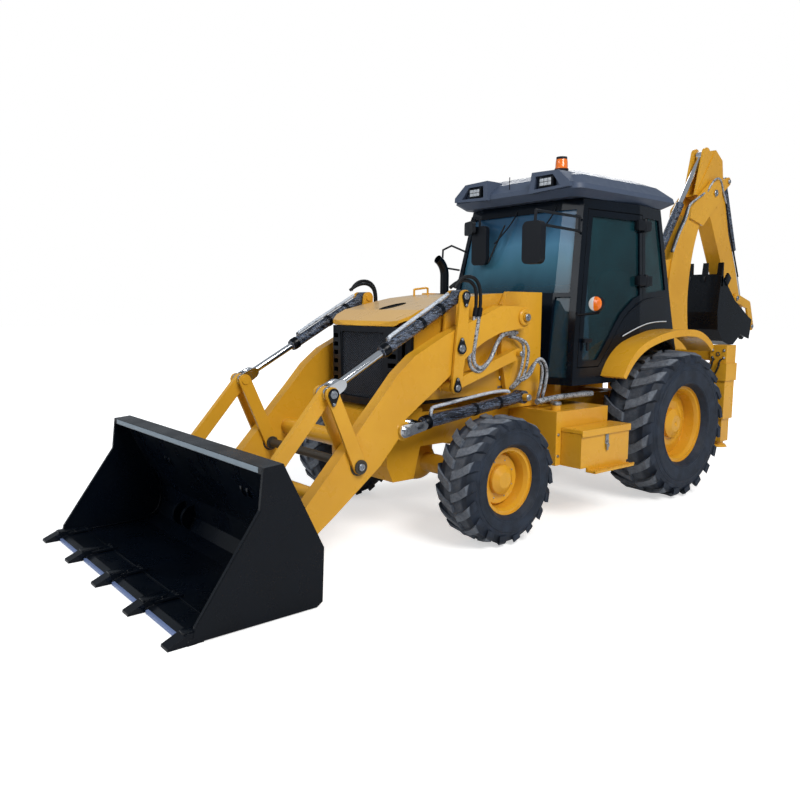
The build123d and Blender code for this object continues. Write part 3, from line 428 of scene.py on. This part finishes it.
PIN_CAPS = (
    # body, outer x of the head, then pivot, radius and keeper tail of each pin
    ("levelling_levers", ARM_X + HEAD, ((LEVER_TOP, 28, -62), (LEVER_MID, 32, 64), (LEVER_LOW, 26, 60))),
    ("guide_pins", ARM_X + HEAD + 2, ((GUIDE_LOW, 28, 0),)),
    ("guide_levers", ARM_X + HEAD, ((GUIDE_TOP, 30, -62),)),
    ("lift_rods", ARM_X + HEAD, ((LIFT_ROD, 30, 0),)),
    ("bucket_pins", ARM_X + HEAD + 14, ((BUCKET_PIN, 30, 0),)),
    ("chassis", ARM_X + HEAD, ((ARM_PIVOT, 32, 0), (LIFT_BASE, 30, 0))),
    ("chassis", ARM_X + HEAD - 20, ((LINK_REAR, 26, 0),)),
)
for index, (body, x, pivots) in enumerate(PIN_CAPS):
    bm, plates = bmesh.new(), bmesh.new()
    for side in (1, -1):
        for pivot, r, tail in pivots:
            pin_cap(bm, side * x, pivot, side, r, tail)
            if tail:
                keeper(plates, side * x, pivot, side, r, tail)
    piece("pin_caps_%d" % index, bm, STEEL, body)
    if plates.verts:
        piece("keepers_%d" % index, plates, PLASTIC, body)

HOE_CAPS = (
    ("boom", 158, ((BOOM_FOOT, 45),)), ("boom", 92, ((DIPPER_CYL_BASE, 30),)), ("dipper", 134, ((BOOM_HEAD, 40),)),
    ("dipper", 80, ((HOE_CYL_BASE, 28),)), ("hoe_guide_links", 122, ((GUIDE_PIN, 30), (HOE_ROD_PIN, 28))),
    ("hoe_bucket", 152, ((DIPPER_TIP, 35), (HOE_PUSH_PIN, 26))),
)
for index, (body, x, pivots) in enumerate(HOE_CAPS):
    bm = bmesh.new()
    for side in (1, -1):
        for pivot, r in pivots:
            pin_cap(bm, side * x, pivot, side, r)
    piece("hoe_caps_%d" % index, bm, STEEL, body)

# boss rings round the arm pivots and the bucket pins, on the arms' outer side
BOSS_X = 620
bm = bmesh.new()
for side in (1, -1):
    lathe(bm, P(side * BOSS_X, *ARM_PIVOT), (side, 0, 0), [(66, -4), (66, 12), (58, 20), (36, 20), (36, 12), (34, -4)])
    lathe(bm, P(side * BOSS_X, *BUCKET_PIN), (side, 0, 0), [(64, -4), (64, 4), (58, 7), (34, 7), (34, -4)])
piece("arm_bosses", bm, YELLOW, "loader_arms")


# ---------------------------------------------------------------- wheels
DISC, NUTS = 10, 8          # disc's place outward of the hub's x, and how many nuts hold it


def wheel_details(end, tag):
    """Nuts, hub cap with its bolts and ribs on the tyre's side."""
    x, y, z, _, lug_h, rim_r, hub_r, bolt_r, _ = WHEELS[end]
    face = z - lug_h
    side = 1 if tag == "left" else -1
    out = Vector((side, 0, 0))
    body = "wheel_%s_%s" % (end, tag)
    bm = bmesh.new()
    for i in range(NUTS):
        a = 2 * math.pi * (i + 0.5) / NUTS
        spot = P(side * (x + DISC), y + bolt_r * math.cos(a), z + bolt_r * math.sin(a))
        bolt(bm, spot, out, 11)
        lathe(bm, spot, out, [(6, 9), (6, 24), (4, 26), (0, 26)], 12)
    piece("wheel_nuts_%s_%s" % (end, tag), bm, STEEL, body)
    bm = bmesh.new()
    hub = x + DISC + 70
    for i in range(8):
        a = 2 * math.pi * i / 8
        r = hub_r * 0.42
        bolt(bm, P(side * (hub - 6), y + r * math.cos(a), z + r * math.sin(a)), out, 6)
    lathe(bm, P(side * hub, y, z), out,
          [(hub_r * 0.3, -6), (hub_r * 0.3, 5), (hub_r * 0.24, 9), (hub_r * 0.12, 9), (0, 7)])
    lathe(bm, P(side * (x + DISC + 38), y, z), out,
          [(hub_r + 2, -8), (hub_r + 2, 4), (hub_r - 6, 8), (hub_r - 12, 4)], 40)
    piece("hub_details_%s_%s" % (end, tag), bm, YELLOW, body)
    bm = bmesh.new()
    wall = SIDEWALL[end]
    for r, w, h in ((rim_r + 42, 7, 3), (rim_r + (face - rim_r) * 0.55, 5, 3.5),
                    (rim_r + (face - rim_r) * 0.68, 4, 2.5)):
        lathe(bm, P(side * x, y, z), out,
              [(r - w, wall(r - w)), (r - w * 0.4, wall(r) + h), (r + w * 0.4, wall(r) + h), (r + w, wall(r + w))], 72)
    piece("sidewall_ribs_%s_%s" % (end, tag), bm, SPECIAL["tyre_%s_%s" % (end, tag)], body)


def sidewall(radius, width, rim_r, lug_h):
    """Height of the tyre's side above its centre plane at radius r, as in the CAD profile."""
    half, body_r = width / 2, radius - lug_h
    side_r = (rim_r + body_r) / 2
    table = ((rim_r, half * 0.72), (rim_r + 30, half * 0.96), (side_r, half), (body_r - 55, half * 0.94),
             (body_r, half * 0.5))

    def height(r):
        for (r0, h0), (r1, h1) in zip(table, table[1:]):
            if r <= r1:
                return h0 + (h1 - h0) * (r - r0) / (r1 - r0)
        return table[-1][1]
    return height


SIDEWALL = {end: sidewall(radius, width, rim_r, lug_h)
            for end, (_, _, radius, width, lug_h, rim_r, *_) in WHEELS.items()}
for tag in ("left", "right"):
    wheel_details("front", tag)
    wheel_details("rear", tag)

# ---------------------------------------------------------------- loader
def over(side, p, q, t, up):
    """Point t of the way along p to q, raised square to it."""
    d = math.dist(p, q)
    u = ((q[0] - p[0]) / d, (q[1] - p[1]) / d)
    n = (u[1], -u[0]) if u[0] < 0 else (-u[1], u[0])
    return (side * ARM_X, p[0] + (q[0] - p[0]) * t + n[0] * up, p[1] + (q[1] - p[1]) * t + n[1] * up)


# name, base and rod pin, barrel length and radius, body, the port's share of the way, and the pipe's places
CYLINDERS = (
    ("lift", LIFT_BASE, LIFT_ROD, 1042, 46, "lift_barrels", 0.758,
     ((0.10, 60), (0.13, 96), (0.7, 96), (0.755, 94), (0.758, 46))),
    ("tilt", LEVER_TOP, GUIDE_TOP, 800, 41, "tilt_barrels", 0.54,
     ((0.06, 62), (0.15, 60), (0.5, 60), (0.538, 58), (0.54, 36))),
)
for side, tag in ((1, "left"), (-1, "right")):
    for name, p, q, _, _, body, _, places in CYLINDERS:
        tube("%s_pipe_%s" % (name, tag), [over(side, p, q, t, up) for t, up in places],
             13, PIPE_WRAP, body)
    for name, p, q, length, r, body, port, _ in CYLINDERS:
        bm = bmesh.new()
        d = math.dist(p, q)
        way = Vector((0, (q[0] - p[0]) / d, (q[1] - p[1]) / d))
        gland = P(side * ARM_X, p[0] + way.y * (length - 62), p[1] + way.z * (length - 62))
        lathe(bm, gland, way,
              [(r - 2, 0), (r + 6, 2), (r + 6, 44), (r + 2, 50), (r + 2, 58), (r - 6, 62), (r - 14, 62)], 36)
        for t in (0.25, 0.5):
            at = P(side * ARM_X, p[0] + way.y * length * t, p[1] + way.z * length * t)
            lathe(bm, at, way, [(r - 1, -14), (r + 4, -14), (r + 4, 14), (r - 1, 14)], 36)
        piece("%s_gland_%s" % (name, tag), bm, BLACK, body)
        bm = bmesh.new()
        square = (0, -way.z, way.y) if way.y > 0 else (0, way.z, -way.y)
        lathe(bm, P(*over(side, p, q, port, r - 6)), square, [(16, -6), (16, 16), (12, 18), (12, 30), (0, 30)], 6)
        piece("%s_fitting_%s" % (name, tag), bm, STEEL, body)
    # hoses: from the tilt cylinder's base down behind the lever, then back up into the tower
    for k, shift in enumerate((0, 26)):
        x = side * (ARM_X + 34 + shift * 0.7)
        loop = [(x, -2452 + shift, 1812), (x, -2380, 1862 + shift), (x, -2250 + shift, 1872 + shift),
                (x, -2178 + shift, 1790), (x, -2196 + shift, 1640), (x, -2236 + shift, 1440),
                (x, -2262 + shift, 1250 + shift), (x, -2150, 1188 + shift), (x, -2040, 1262 + shift),
                (x, -1960, 1420 + shift * 0.8), (x - side * 30, -1830, 1486 + shift * 0.6),
                (x - side * 60, -1690, 1470 + shift * 0.5)]
        tube("arm_hose_bare_%s_%d" % (tag, k), loop[:5], 13, RUBBER, "loader_arms")
        tube("arm_hose_%s_%d" % (tag, k), loop[4:], 15, HOSE_WRAP, "loader_arms")
        sleeve = bmesh.new()
        lathe(sleeve, P(*loop[4]), P(*loop[5]) - P(*loop[4]), [(15, -34), (19, -30), (19, 26), (17, 34)], 20)
        piece("arm_hose_sleeve_%s_%d" % (tag, k), sleeve, PLASTIC, "loader_arms")
        tube("tower_hose_%s_%d" % (tag, k),
             [(side * (520 + shift), -1742, 1452), (side * (545 + shift), -1660, 1440),
              (side * (556 + shift), -1588 + shift, 1380), (side * (556 + shift), -1604 + shift, 1240),
              (side * (556 + shift), -1650 + shift, 1120), (side * (530 + shift), -1690, 1060),
              (side * (500 + shift), -1690, 1040)],
             12, HOSE_WRAP, "chassis")
        tube("lift_hose_%s_%d" % (tag, k),
             [(side * (560 + shift), -1660, 1105), (side * (600 + shift), -1600, 1130),
              (side * (620 + shift), -1560, 1230 + shift), (side * (624 + shift), -1490, 1262 + shift),
              (side * (620 + shift), -1428 + shift, 1190), (side * (600 + shift), -1432 + shift, 1040),
              (side * (580 + shift), -1440 + shift, 960), (side * (560 + shift), -1420 + shift, 900)],
             13, HOSE_WRAP, "chassis")

# bucket: edge plates between the teeth, tooth shanks with bolts, and strips on the side plates' front edges
BUCKET_HALF = 1122
EDGE_X = BUCKET_HALF - 11   # middle of each side plate
bm = bmesh.new()
tooth_x = [(i - 2) * (BUCKET_HALF - 45) / 2 for i in range(5)]
for a, b in zip(tooth_x, tooth_x[1:]):
    box(bm, (a + 62, -4700, 2), (b - 62, -4668, 22), 3)
piece("edge_plates", bm, BLADE, "loader_bucket")
bm = bmesh.new()
for x in tooth_x:
    box(bm, (x - 44, -4640, 34), (x + 44, -4470, 52), 5)
    box(bm, (x - 30, -4700, 40), (x + 30, -4560, 66), 6)
    for dy in (0, 90):
        for dx in (-24, 24):
            bolt(bm, P(x + dx, -4600 + dy + 10, 51), (0, 0, 1), 9)
box(bm, (-BUCKET_HALF + 30, -4500, 28), (BUCKET_HALF - 30, -4484, 36), 2)
piece("tooth_shanks", bm, BLACK, "loader_bucket")
bm = bmesh.new()
(y0, z0), (y1, z1) = (-4268, 620), (-4640, 90)
length = math.dist((y0, z0), (y1, z1))
lean = Matrix.Rotation(math.atan2(z1 - z0, y1 - y0), 4, "X")
for side in (1, -1):
    box(bm, (side * EDGE_X - 11, (y0 + y1) / 2 - length / 2, (z0 + z1) / 2 - 3),
        (side * EDGE_X + 11, (y0 + y1) / 2 + length / 2, (z0 + z1) / 2 + 3), 2, lean)
piece("side_cutters", bm, SEAM, "loader_bucket")
# painted sheen: a pale strip on the top beam's face stands in for the light it reflects; and a weld bead inside each
# side plate
bm = bmesh.new()
box(bm, (-BUCKET_HALF + 60, -4252, 803), (BUCKET_HALF - 60, -4248, 834), 1)
piece("beam_painted_sheen", bm, BEAM_SHEEN_PAINT, "loader_bucket")
for side, tag in ((1, "left"), (-1, "right")):
    x = side * (BUCKET_HALF - 24)
    tube("side_weld_" + tag,
         [(x, -4160, 778), (x, -3930, 310), (x, -3922, 160), (x, -3968, 78), (x, -4066, 34), (x, -4600, 34)],
         5, BLACK, "loader_bucket")

# ---------------------------------------------------------------- hood and grille
def wire(bm, a, b, w=1.6):
    """Thin square wire between two points in the machine frame."""
    a, b = P(*a), P(*b)
    place = Matrix.Translation(a) @ frame_of(b - a)
    corners = ((1, 0), (0, 1), (-1, 0), (0, -1))
    rings = [[bm.verts.new(place @ Vector((sx * w / 1000, sy * w / 1000, h))) for sx, sy in corners]
             for h in (0, (b - a).length)]
    for i in range(4):
        bm.faces.new((rings[0][i], rings[0][(i + 1) % 4], rings[1][(i + 1) % 4], rings[1][i]))


# two sets of slanting wires, cut off at the grille's edges
X0, X1, Z0, Z1, WIRE_PITCH, RISE, WIRE_Y = -268, 268, 1002, 1490, 22.0, 0.9, -2771
bm = bmesh.new()
for k in range(-24, 50):
    for slope in (1, -1):
        start = X0 + k * WIRE_PITCH
        heights = [Z0 + slope * RISE * (x - start) for x in (X0, X1)]
        if max(heights) < Z0 or min(heights) > Z1:
            continue
        cut = []
        for z in heights:
            zc = min(max(z, Z0), Z1)
            cut.append((start + (zc - Z0) / (slope * RISE), zc))
        if abs(cut[0][0] - cut[1][0]) > 8:
            y = WIRE_Y - slope * 1.5
            wire(bm, (cut[0][0], y, cut[0][1]), (cut[1][0], y, cut[1][1]))
piece("grille_mesh", bm, MESH, "hood", smooth=0)
bm = bmesh.new()
for x in (-262, 262):
    box(bm, (x - 9, -2782, 985), (x + 9, -2756, 1500), 4)
box(bm, (-270, -2782, 1488), (270, -2756, 1504), 4)
box(bm, (-255, -2782, 985), (255, -2756, 1001), 4)
piece("grille_frame", bm, PLASTIC, "hood")

# painted shade: a near-black dish in the oval opening, which lies on the sloping top, stands in for the shade inside
# it; grab handle and latches of the hood
bm = bmesh.new()
centre = P(0, -2485, 1681)
slope = math.atan2(54, 248)
rings = []
for r, h in ((1.04, 0), (1.04, 2), (0.98, 2), (0.93, -4), (0.4, -7)):
    ring = []
    for i in range(40):
        a = 2 * math.pi * i / 40
        v = Vector((0.062 * r * math.cos(a), 0.118 * r * math.sin(a) / math.cos(slope), h / 1000))
        ring.append(bm.verts.new(centre + Matrix.Rotation(slope, 4, "X") @ v))
    rings.append(ring)
for low, high in zip(rings, rings[1:]):
    for i in range(40):
        bm.faces.new((low[i], low[(i + 1) % 40], high[(i + 1) % 40], high[i]))
bm.faces.new(rings[-1])
piece("hood_opening_shade", bm, SHADE_DISH, "hood")
tube("grab_handle", [(-330, y, z) for y, z in ((-1985, 1762), (-1985, 1822), (-1970, 1826), (-1850, 1840),
                                              (-1832, 1836), (-1832, 1778))],
     9, YELLOW, "hood", order=2)
bm = bmesh.new()
for side in (1, -1):
    for y in (-2560, -1760):
        box(bm, (side * 459 - 3, y - 26, 1040), (side * 459 + 3, y + 26, 1060), 2)
        lathe(bm, P(side * 461, y, 1120), (side, 0, 0), [(16, -2), (16, 4), (12, 7), (5, 7), (4, 4), (0, 4)], 20)
piece("hood_latches", bm, STEEL, "hood")

# ---------------------------------------------------------------- cab
bm = bmesh.new()
for side in (1, -1):
    for z, x in ((2395, 712), (1917, 744)):
        box(bm, (side * x - 32, -345, z - 46), (side * x + 28, -140, z + 46), 20)
        lathe(bm, P(side * (x + 14), -235, z - 56), (0, 0, 1), [(17, 0), (19, 4), (19, 108), (17, 112), (0, 112)], 20)
piece("door_hinge_covers", bm, PLASTIC, "chassis")
for side, tag in ((1, "left"), (-1, "right")):
    bm = bmesh.new()
    box(bm, (side * 762 - 10, -1105, 1395), (side * 762 + 12, -1000, 1430), 6)
    box(bm, (side * 772 - 6, -1080, 1330), (side * 772 + 8, -1052, 1400), 5)
    piece("door_handle_" + tag, bm, PLASTIC, "door_" + tag)
    tube("door_grab_" + tag,
         [(side * 690, -1010, 1620), (side * 672, -960, 1800), (side * 655, -800, 1960), (side * 650, -560, 2030),
          (side * 655, -350, 1990)],
         9, PLASTIC, "door_" + tag)
    tube("trim_line_" + tag,
         [(side * 763, -560, 1440), (side * 761, -400, 1492), (side * 757, -180, 1548), (side * 738, 60, 1562),
          (side * 714, 200, 1560)],
         5, WHITE, "chassis")
    tube("trim_seam_" + tag,
         [(side * 757, -470, 1640), (side * 752, -260, 1742), (side * 744, -90, 1776), (side * 722, 120, 1782)],
         3, PLASTIC, "chassis")

# wipers
for x, tag in ((-150, "a"), (280, "b")):
    tube("wiper_arm_" + tag, [(x + 120, -1052, 2512), (x + 100, -1092, 2400), (x - 30, -1180, 2240)],
         6, PLASTIC, "chassis")
    tube("wiper_blade_" + tag, [(x + 40, -1122, 2400), (x - 20, -1165, 2240), (x - 80, -1196, 2080)],
         8, RUBBER, "chassis")

# work lamps (middle, width and height of each, and which way it faces), beacon and indicators
WORK_LAMPS = ((405, -1207, 2702, 128, 66, -1), (-405, -1207, 2702, 128, 66, -1),
              (430, 332, 2640, 118, 62, 1), (-430, 332, 2640, 118, 62, 1))
for index, (x, y, z, w, h, face) in enumerate(WORK_LAMPS):
    bm = bmesh.new()
    for i in range(3):
        for j in range(2):
            cx, cz = x + (i - 1) * w * 0.31, z + (j - 0.5) * h * 0.46
            near, far = sorted((y + face * 2, y + face * 7))
            box(bm, (cx - w * 0.14, near, cz - h * 0.2), (cx + w * 0.14, far, cz + h * 0.2), 2)
    piece("work_lamp_lens_%d" % index, bm, LED, "chassis")
    bm = bmesh.new()
    box(bm, (x - w / 2 - 6, y - 4, z - h / 2 - 5), (x + w / 2 + 6, y + 1, z + h / 2 + 5), 3)
    piece("work_lamp_case_%d" % index, bm, PLASTIC, "chassis")
bm = bmesh.new()
profile = [(0, 0), (56, 0), (56, 8), (53, 12), (51, 60), (48, 78), (40, 92), (26, 101), (12, 104), (0, 104.5)]
lathe(bm, P(280, -850, 2862), (0, 0, 1), profile, 32)
piece("beacon_lens", bm, ORANGE, "chassis")
for side, tag in ((1, "left"), (-1, "right")):
    for half, mat, name in ((1, ORANGE, "amber"), (-1, CLEAR, "clear")):
        bm = bmesh.new()
        lathe(bm, P(side * 960, -1242, 1710), (0, -1, 0),
              [(56, -8), (57, 2), (52, 12), (36, 20), (16, 23), (0, 24)], 36)
        bmesh.ops.bisect_plane(bm, geom=bm.verts[:] + bm.edges[:] + bm.faces[:],
                               plane_co=P(side * 960, -1242, 1710), plane_no=(-side * half, 0, 0), clear_outer=True)
        piece("indicator_%s_%s" % (name, tag), bm, mat, "chassis")
tube("aerial", [(-40, -1150, 2690), (-40, -1150, 2800)], 4, PLASTIC, "chassis", order=2)

# roof ribs
bm = bmesh.new()
for x in (-240, 0, 240):
    box(bm, (x - 26, -800, 2814), (x + 26, -100, 2834), 9)
piece("roof_ribs", bm, ROOF, "chassis")

# seat: moulded frame with two cushions, in place of the CAD pedestal
def cushion(name, low, high, lean=0.0, crown=22):
    """Crowned pad: a subdivided block, pulled in between its corners."""
    bm = bmesh.new()
    a, b = P(*low), P(*high)
    centre, size = (a + b) / 2, b - a
    bmesh.ops.create_cube(bm, size=1.0)
    bmesh.ops.subdivide_edges(bm, edges=bm.edges[:], cuts=7, use_grid_fill=True)
    for v in bm.verts:
        x, y, z = v.co
        u, w = 1 - (2 * x) ** 4, 1 - (2 * z if lean else 2 * y) ** 4
        swell = crown / 1000 * u * w - 0.010 * math.exp(-((abs(x) - 0.26) / 0.03) ** 2)
        v.co = Vector((x * size.x * (1 - 0.03 * (1 - w)), y * size.y, z * size.z))
        if lean and y < 0:
            v.co.y -= swell
        elif not lean and z > 0:
            v.co.z += swell
        length = math.sqrt((2 * x) ** 6 + (2 * y) ** 6 + (2 * z) ** 6)
        if length > 1:
            v.co *= 1 / length ** 0.16
    if lean:
        bmesh.ops.rotate(bm, cent=(0, 0, -size.z / 2), matrix=Matrix.Rotation(lean, 3, "X"), verts=bm.verts)
    bmesh.ops.translate(bm, vec=centre, verts=bm.verts)
    obj = piece(name, bm, VINYL, "seat", smooth=1.2)
    return obj


bm = bmesh.new()
lathe(bm, P(0, -400, 1100), (0, 0, 1),
      [(0, 0), (120, 0), (118, 12), (88, 22), (84, 180), (150, 190), (150, 200), (0, 200)], 40)
box(bm, (-210, -630, 1296), (210, -190, 1322), 10)
box(bm, (-195, -150, 1330), (195, -120, 1960), 12)
seat_frame = piece("seat_frame", bm, PLASTIC, "seat")
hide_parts("seat")
cushion("seat_cushion", (-225, -640, 1322), (225, -220, 1405))
cushion("seat_back", (-205, -225, 1400), (205, -150, 1950), lean=-0.04)

# ---------------------------------------------------------------- tanks and steps
bm = bmesh.new()
for side in (1, -1):
    lathe(bm, P(side * 770, -1440, 914), (0, 0, 1),
          [(42, 0), (44, 3), (44, 20), (38, 26), (14, 27), (12, 30), (0, 30)], 32)
    for z in (520, 690):
        bolt(bm, P(side * 850, -1500, z), (side, 0, 0), 8)
piece("filler_caps", bm, STEEL, "chassis")
tube("tank_pipe", [(640, -1520, 930), (648, -1400, 945), (655, -1200, 955), (660, -1000, 958), (660, -830, 955)],
     24, HOSE_WRAP, "chassis")
bm = bmesh.new()
box(bm, (1046, -1166, 612), (1056, -1126, 690), 3)
box(bm, (1054, -1156, 560), (1064, -1136, 640), 3)
lathe(bm, P(1056, -1146, 600), (1, 0, 0), [(18, 0), (18, 10), (12, 13), (5, 13), (0, 10)], 24)
piece("toolbox_latch", bm, STEEL, "chassis")
bm = bmesh.new()
for side in (1, -1):
    for i in range(24):
        y = -1375 + i * 21.5
        for x in (1076, 1108):
            lathe(bm, P(side * x, y, 425), (0, 0, 1), [(9, -1), (7, 9), (0, 10)], 6)
    for i in range(26):
        y = -1380 + i * 20.6
        box(bm, (side * 1115 - 4, y, 420), (side * 1115 + 4, y + 11, 436), 0)
piece("step_teeth", bm, YELLOW, "chassis")

# ---------------------------------------------------------------- rear frame and stabilizers
bm = bmesh.new()
for side in (1, -1):
    for x in (925, 1035):
        for z in (1290, 1220):
            bolt(bm, P(side * x, 690, z), (0, -1, 0), 9)
    lathe(bm, P(side * 980, 690, 1255), (0, -1, 0), [(20, 0), (20, 5), (12, 5), (11, -4), (0, -4)], 24)
piece("sleeve_bolts", bm, STEEL, "chassis")
for side, tag in ((1, "left"), (-1, "right")):
    for k, x in enumerate((945, 1015)):
        tube("leg_hose_%s_%d" % (tag, k),
             [(side * x, 686, 1205), (side * x, 655, 1200), (side * x, 640, 1140), (side * (x - 40), 648, 1060),
              (side * (x - 90), 672, 1030), (side * (x - 120), 690, 1020)],
             9, RUBBER, "chassis")
    bm = bmesh.new()
    lathe(bm, P(side * 980, 690, 520), (0, -1, 0), [(24, -2), (24, 8), (14, 12), (0, 12)], 24)
    piece("leg_plug_" + tag, bm, STEEL, "stabilizer_" + tag)

# ---------------------------------------------------------------- backhoe hoses and pipes
for k, x in enumerate((118, 136)):
    tube("boom_hose_%d" % k,
         [(x, 1240, 2280), (x, 1330 + 12 * k, 2480), (x, 1470 + 12 * k, 2650), (x, 1520, 2780 + 14 * k),
          (x + 8, 1640, 2850 + 14 * k), (x + 14, 1800, 2930 + 14 * k)],
         11, HOSE_WRAP if k else RUBBER, "boom")
tube("dipper_hose_a",
     [(112, 1905, 2950), (150, 1950, 3075), (150, 2060, 3140), (130, 2190, 3130), (98, 2300, 3030), (94, 2400, 2900)],
     11, HOSE_WRAP, "dipper")
tube("dipper_pipe", [(92, 2400, 2900), (92, 2520, 2600), (92, 2700, 2250), (92, 2790, 2070)],
     9, BLACK, "dipper", order=2)
bm = bmesh.new()
for x in (-182, 0, 182):
    box(bm, (x - 38, 2144, 1930), (x + 38, 2196, 2060), 8)
for side in (1, -1):
    box(bm, (side * 220 - 14, 2236, 1960), (side * 220 + 14, 2330, 2080), 6, Matrix.Rotation(-0.7, 4, "X"))
piece("hoe_tooth_shanks", bm, BLACK, "hoe_bucket")

# ---------------------------------------------------------------- stage, lights, camera
def area_light(name, place, target, size, power, color=(1, 1, 1)):
    data = bpy.data.lights.new(name, "AREA")
    data.shape = "DISK"
    data.size = size
    data.energy = power
    data.color = color
    obj = bpy.data.objects.new(name, data)
    obj.location = place
    obj.rotation_euler = (Vector(target) - Vector(place)).to_track_quat("-Z", "Y").to_euler()
    bpy.context.scene.collection.objects.link(obj)


area_light("key", (11.0, -3.5, 10.5), (0, 0, 1.0), 7.0, 1500, (1.0, 0.98, 0.95))
area_light("front_fill", (-3.0, -13.0, 6.5), (0, -1.0, 1.0), 8.0, 560, (0.94, 0.97, 1.0))
area_light("back_rim", (-7.0, 9.0, 8.0), (0, 0, 1.5), 6.0, 480)

floor_mesh = bpy.data.meshes.new("floor")
floor_mesh.from_pydata([(-60, -60, 0), (60, -60, 0), (60, 60, 0), (-60, 60, 0)], [], [(0, 1, 2, 3)])
floor = bpy.data.objects.new("floor", floor_mesh)
floor.location.z = -0.0005
bpy.context.scene.collection.objects.link(floor)
ground = Mat("pale_floor", srgb("#E6E6E6"), rough=0.9, Specular_IOR_Level=0.1)
ground.bump(ground.noise(3.0), 0.02, 0.002)
# seen by the camera the floor lifts to white with distance; it sends no more light to the object
seen = ground.nt.nodes.new("ShaderNodeLightPath")
ground.set("Emission Color", (1, 1, 1, 1))
where = ground.split()
squares = [ground.math("MULTIPLY", where[axis], where[axis]) for axis in "XY"]
away = ground.math("SQRT", ground.math("ADD", *squares))
far = ground.ramp(ground.math("DIVIDE", away, 20.0), [(0.2, 0.55), (0.5, 1.0)])
ground.link(ground.math("MULTIPLY", seen.outputs["Is Camera Ray"], far), "Emission Strength")
floor_mesh.materials.append(ground.mat)

world = bpy.data.worlds.new("studio")
bpy.context.scene.world = world
world.use_nodes = True
nt = world.node_tree
background = nt.nodes["Background"]
background.inputs["Color"].default_value = (0.86, 0.93, 1.0, 1)
background.inputs["Strength"].default_value = 0.36
white = nt.nodes.new("ShaderNodeBackground")
white.inputs["Color"].default_value = (1, 1, 1, 1)
white.inputs["Strength"].default_value = 1.0
path = nt.nodes.new("ShaderNodeLightPath")
either = nt.nodes.new("ShaderNodeMath")
either.operation = "MAXIMUM"
nt.links.new(path.outputs["Is Camera Ray"], either.inputs[0])
nt.links.new(path.outputs["Is Transmission Ray"], either.inputs[1])
blend = nt.nodes.new("ShaderNodeMixShader")
nt.links.new(either.outputs[0], blend.inputs["Fac"])
nt.links.new(background.outputs[0], blend.inputs[1])
nt.links.new(white.outputs[0], blend.inputs[2])
nt.links.new(blend.outputs[0], nt.nodes["World Output"].inputs["Surface"])

camera_data = bpy.data.cameras.new("camera")
camera_data.lens = 33.38
camera_data.sensor_width = 36.0
camera = bpy.data.objects.new("camera", camera_data)
YAW, PITCH_DOWN, ROLL = math.radians(50.3), math.radians(7.0), math.radians(0.37)
CAMERA_PLACE = (4462, -6111, 1660)
turn = Matrix.Rotation(YAW, 4, "Z") @ Matrix.Rotation(math.pi / 2 - PITCH_DOWN, 4, "X") @ Matrix.Rotation(ROLL, 4, "Z")
camera.matrix_world = Matrix.Translation(P(*CAMERA_PLACE)) @ turn
bpy.context.scene.collection.objects.link(camera)
bpy.context.scene.camera = camera
bpy.context.scene.view_settings.view_transform = "Standard"
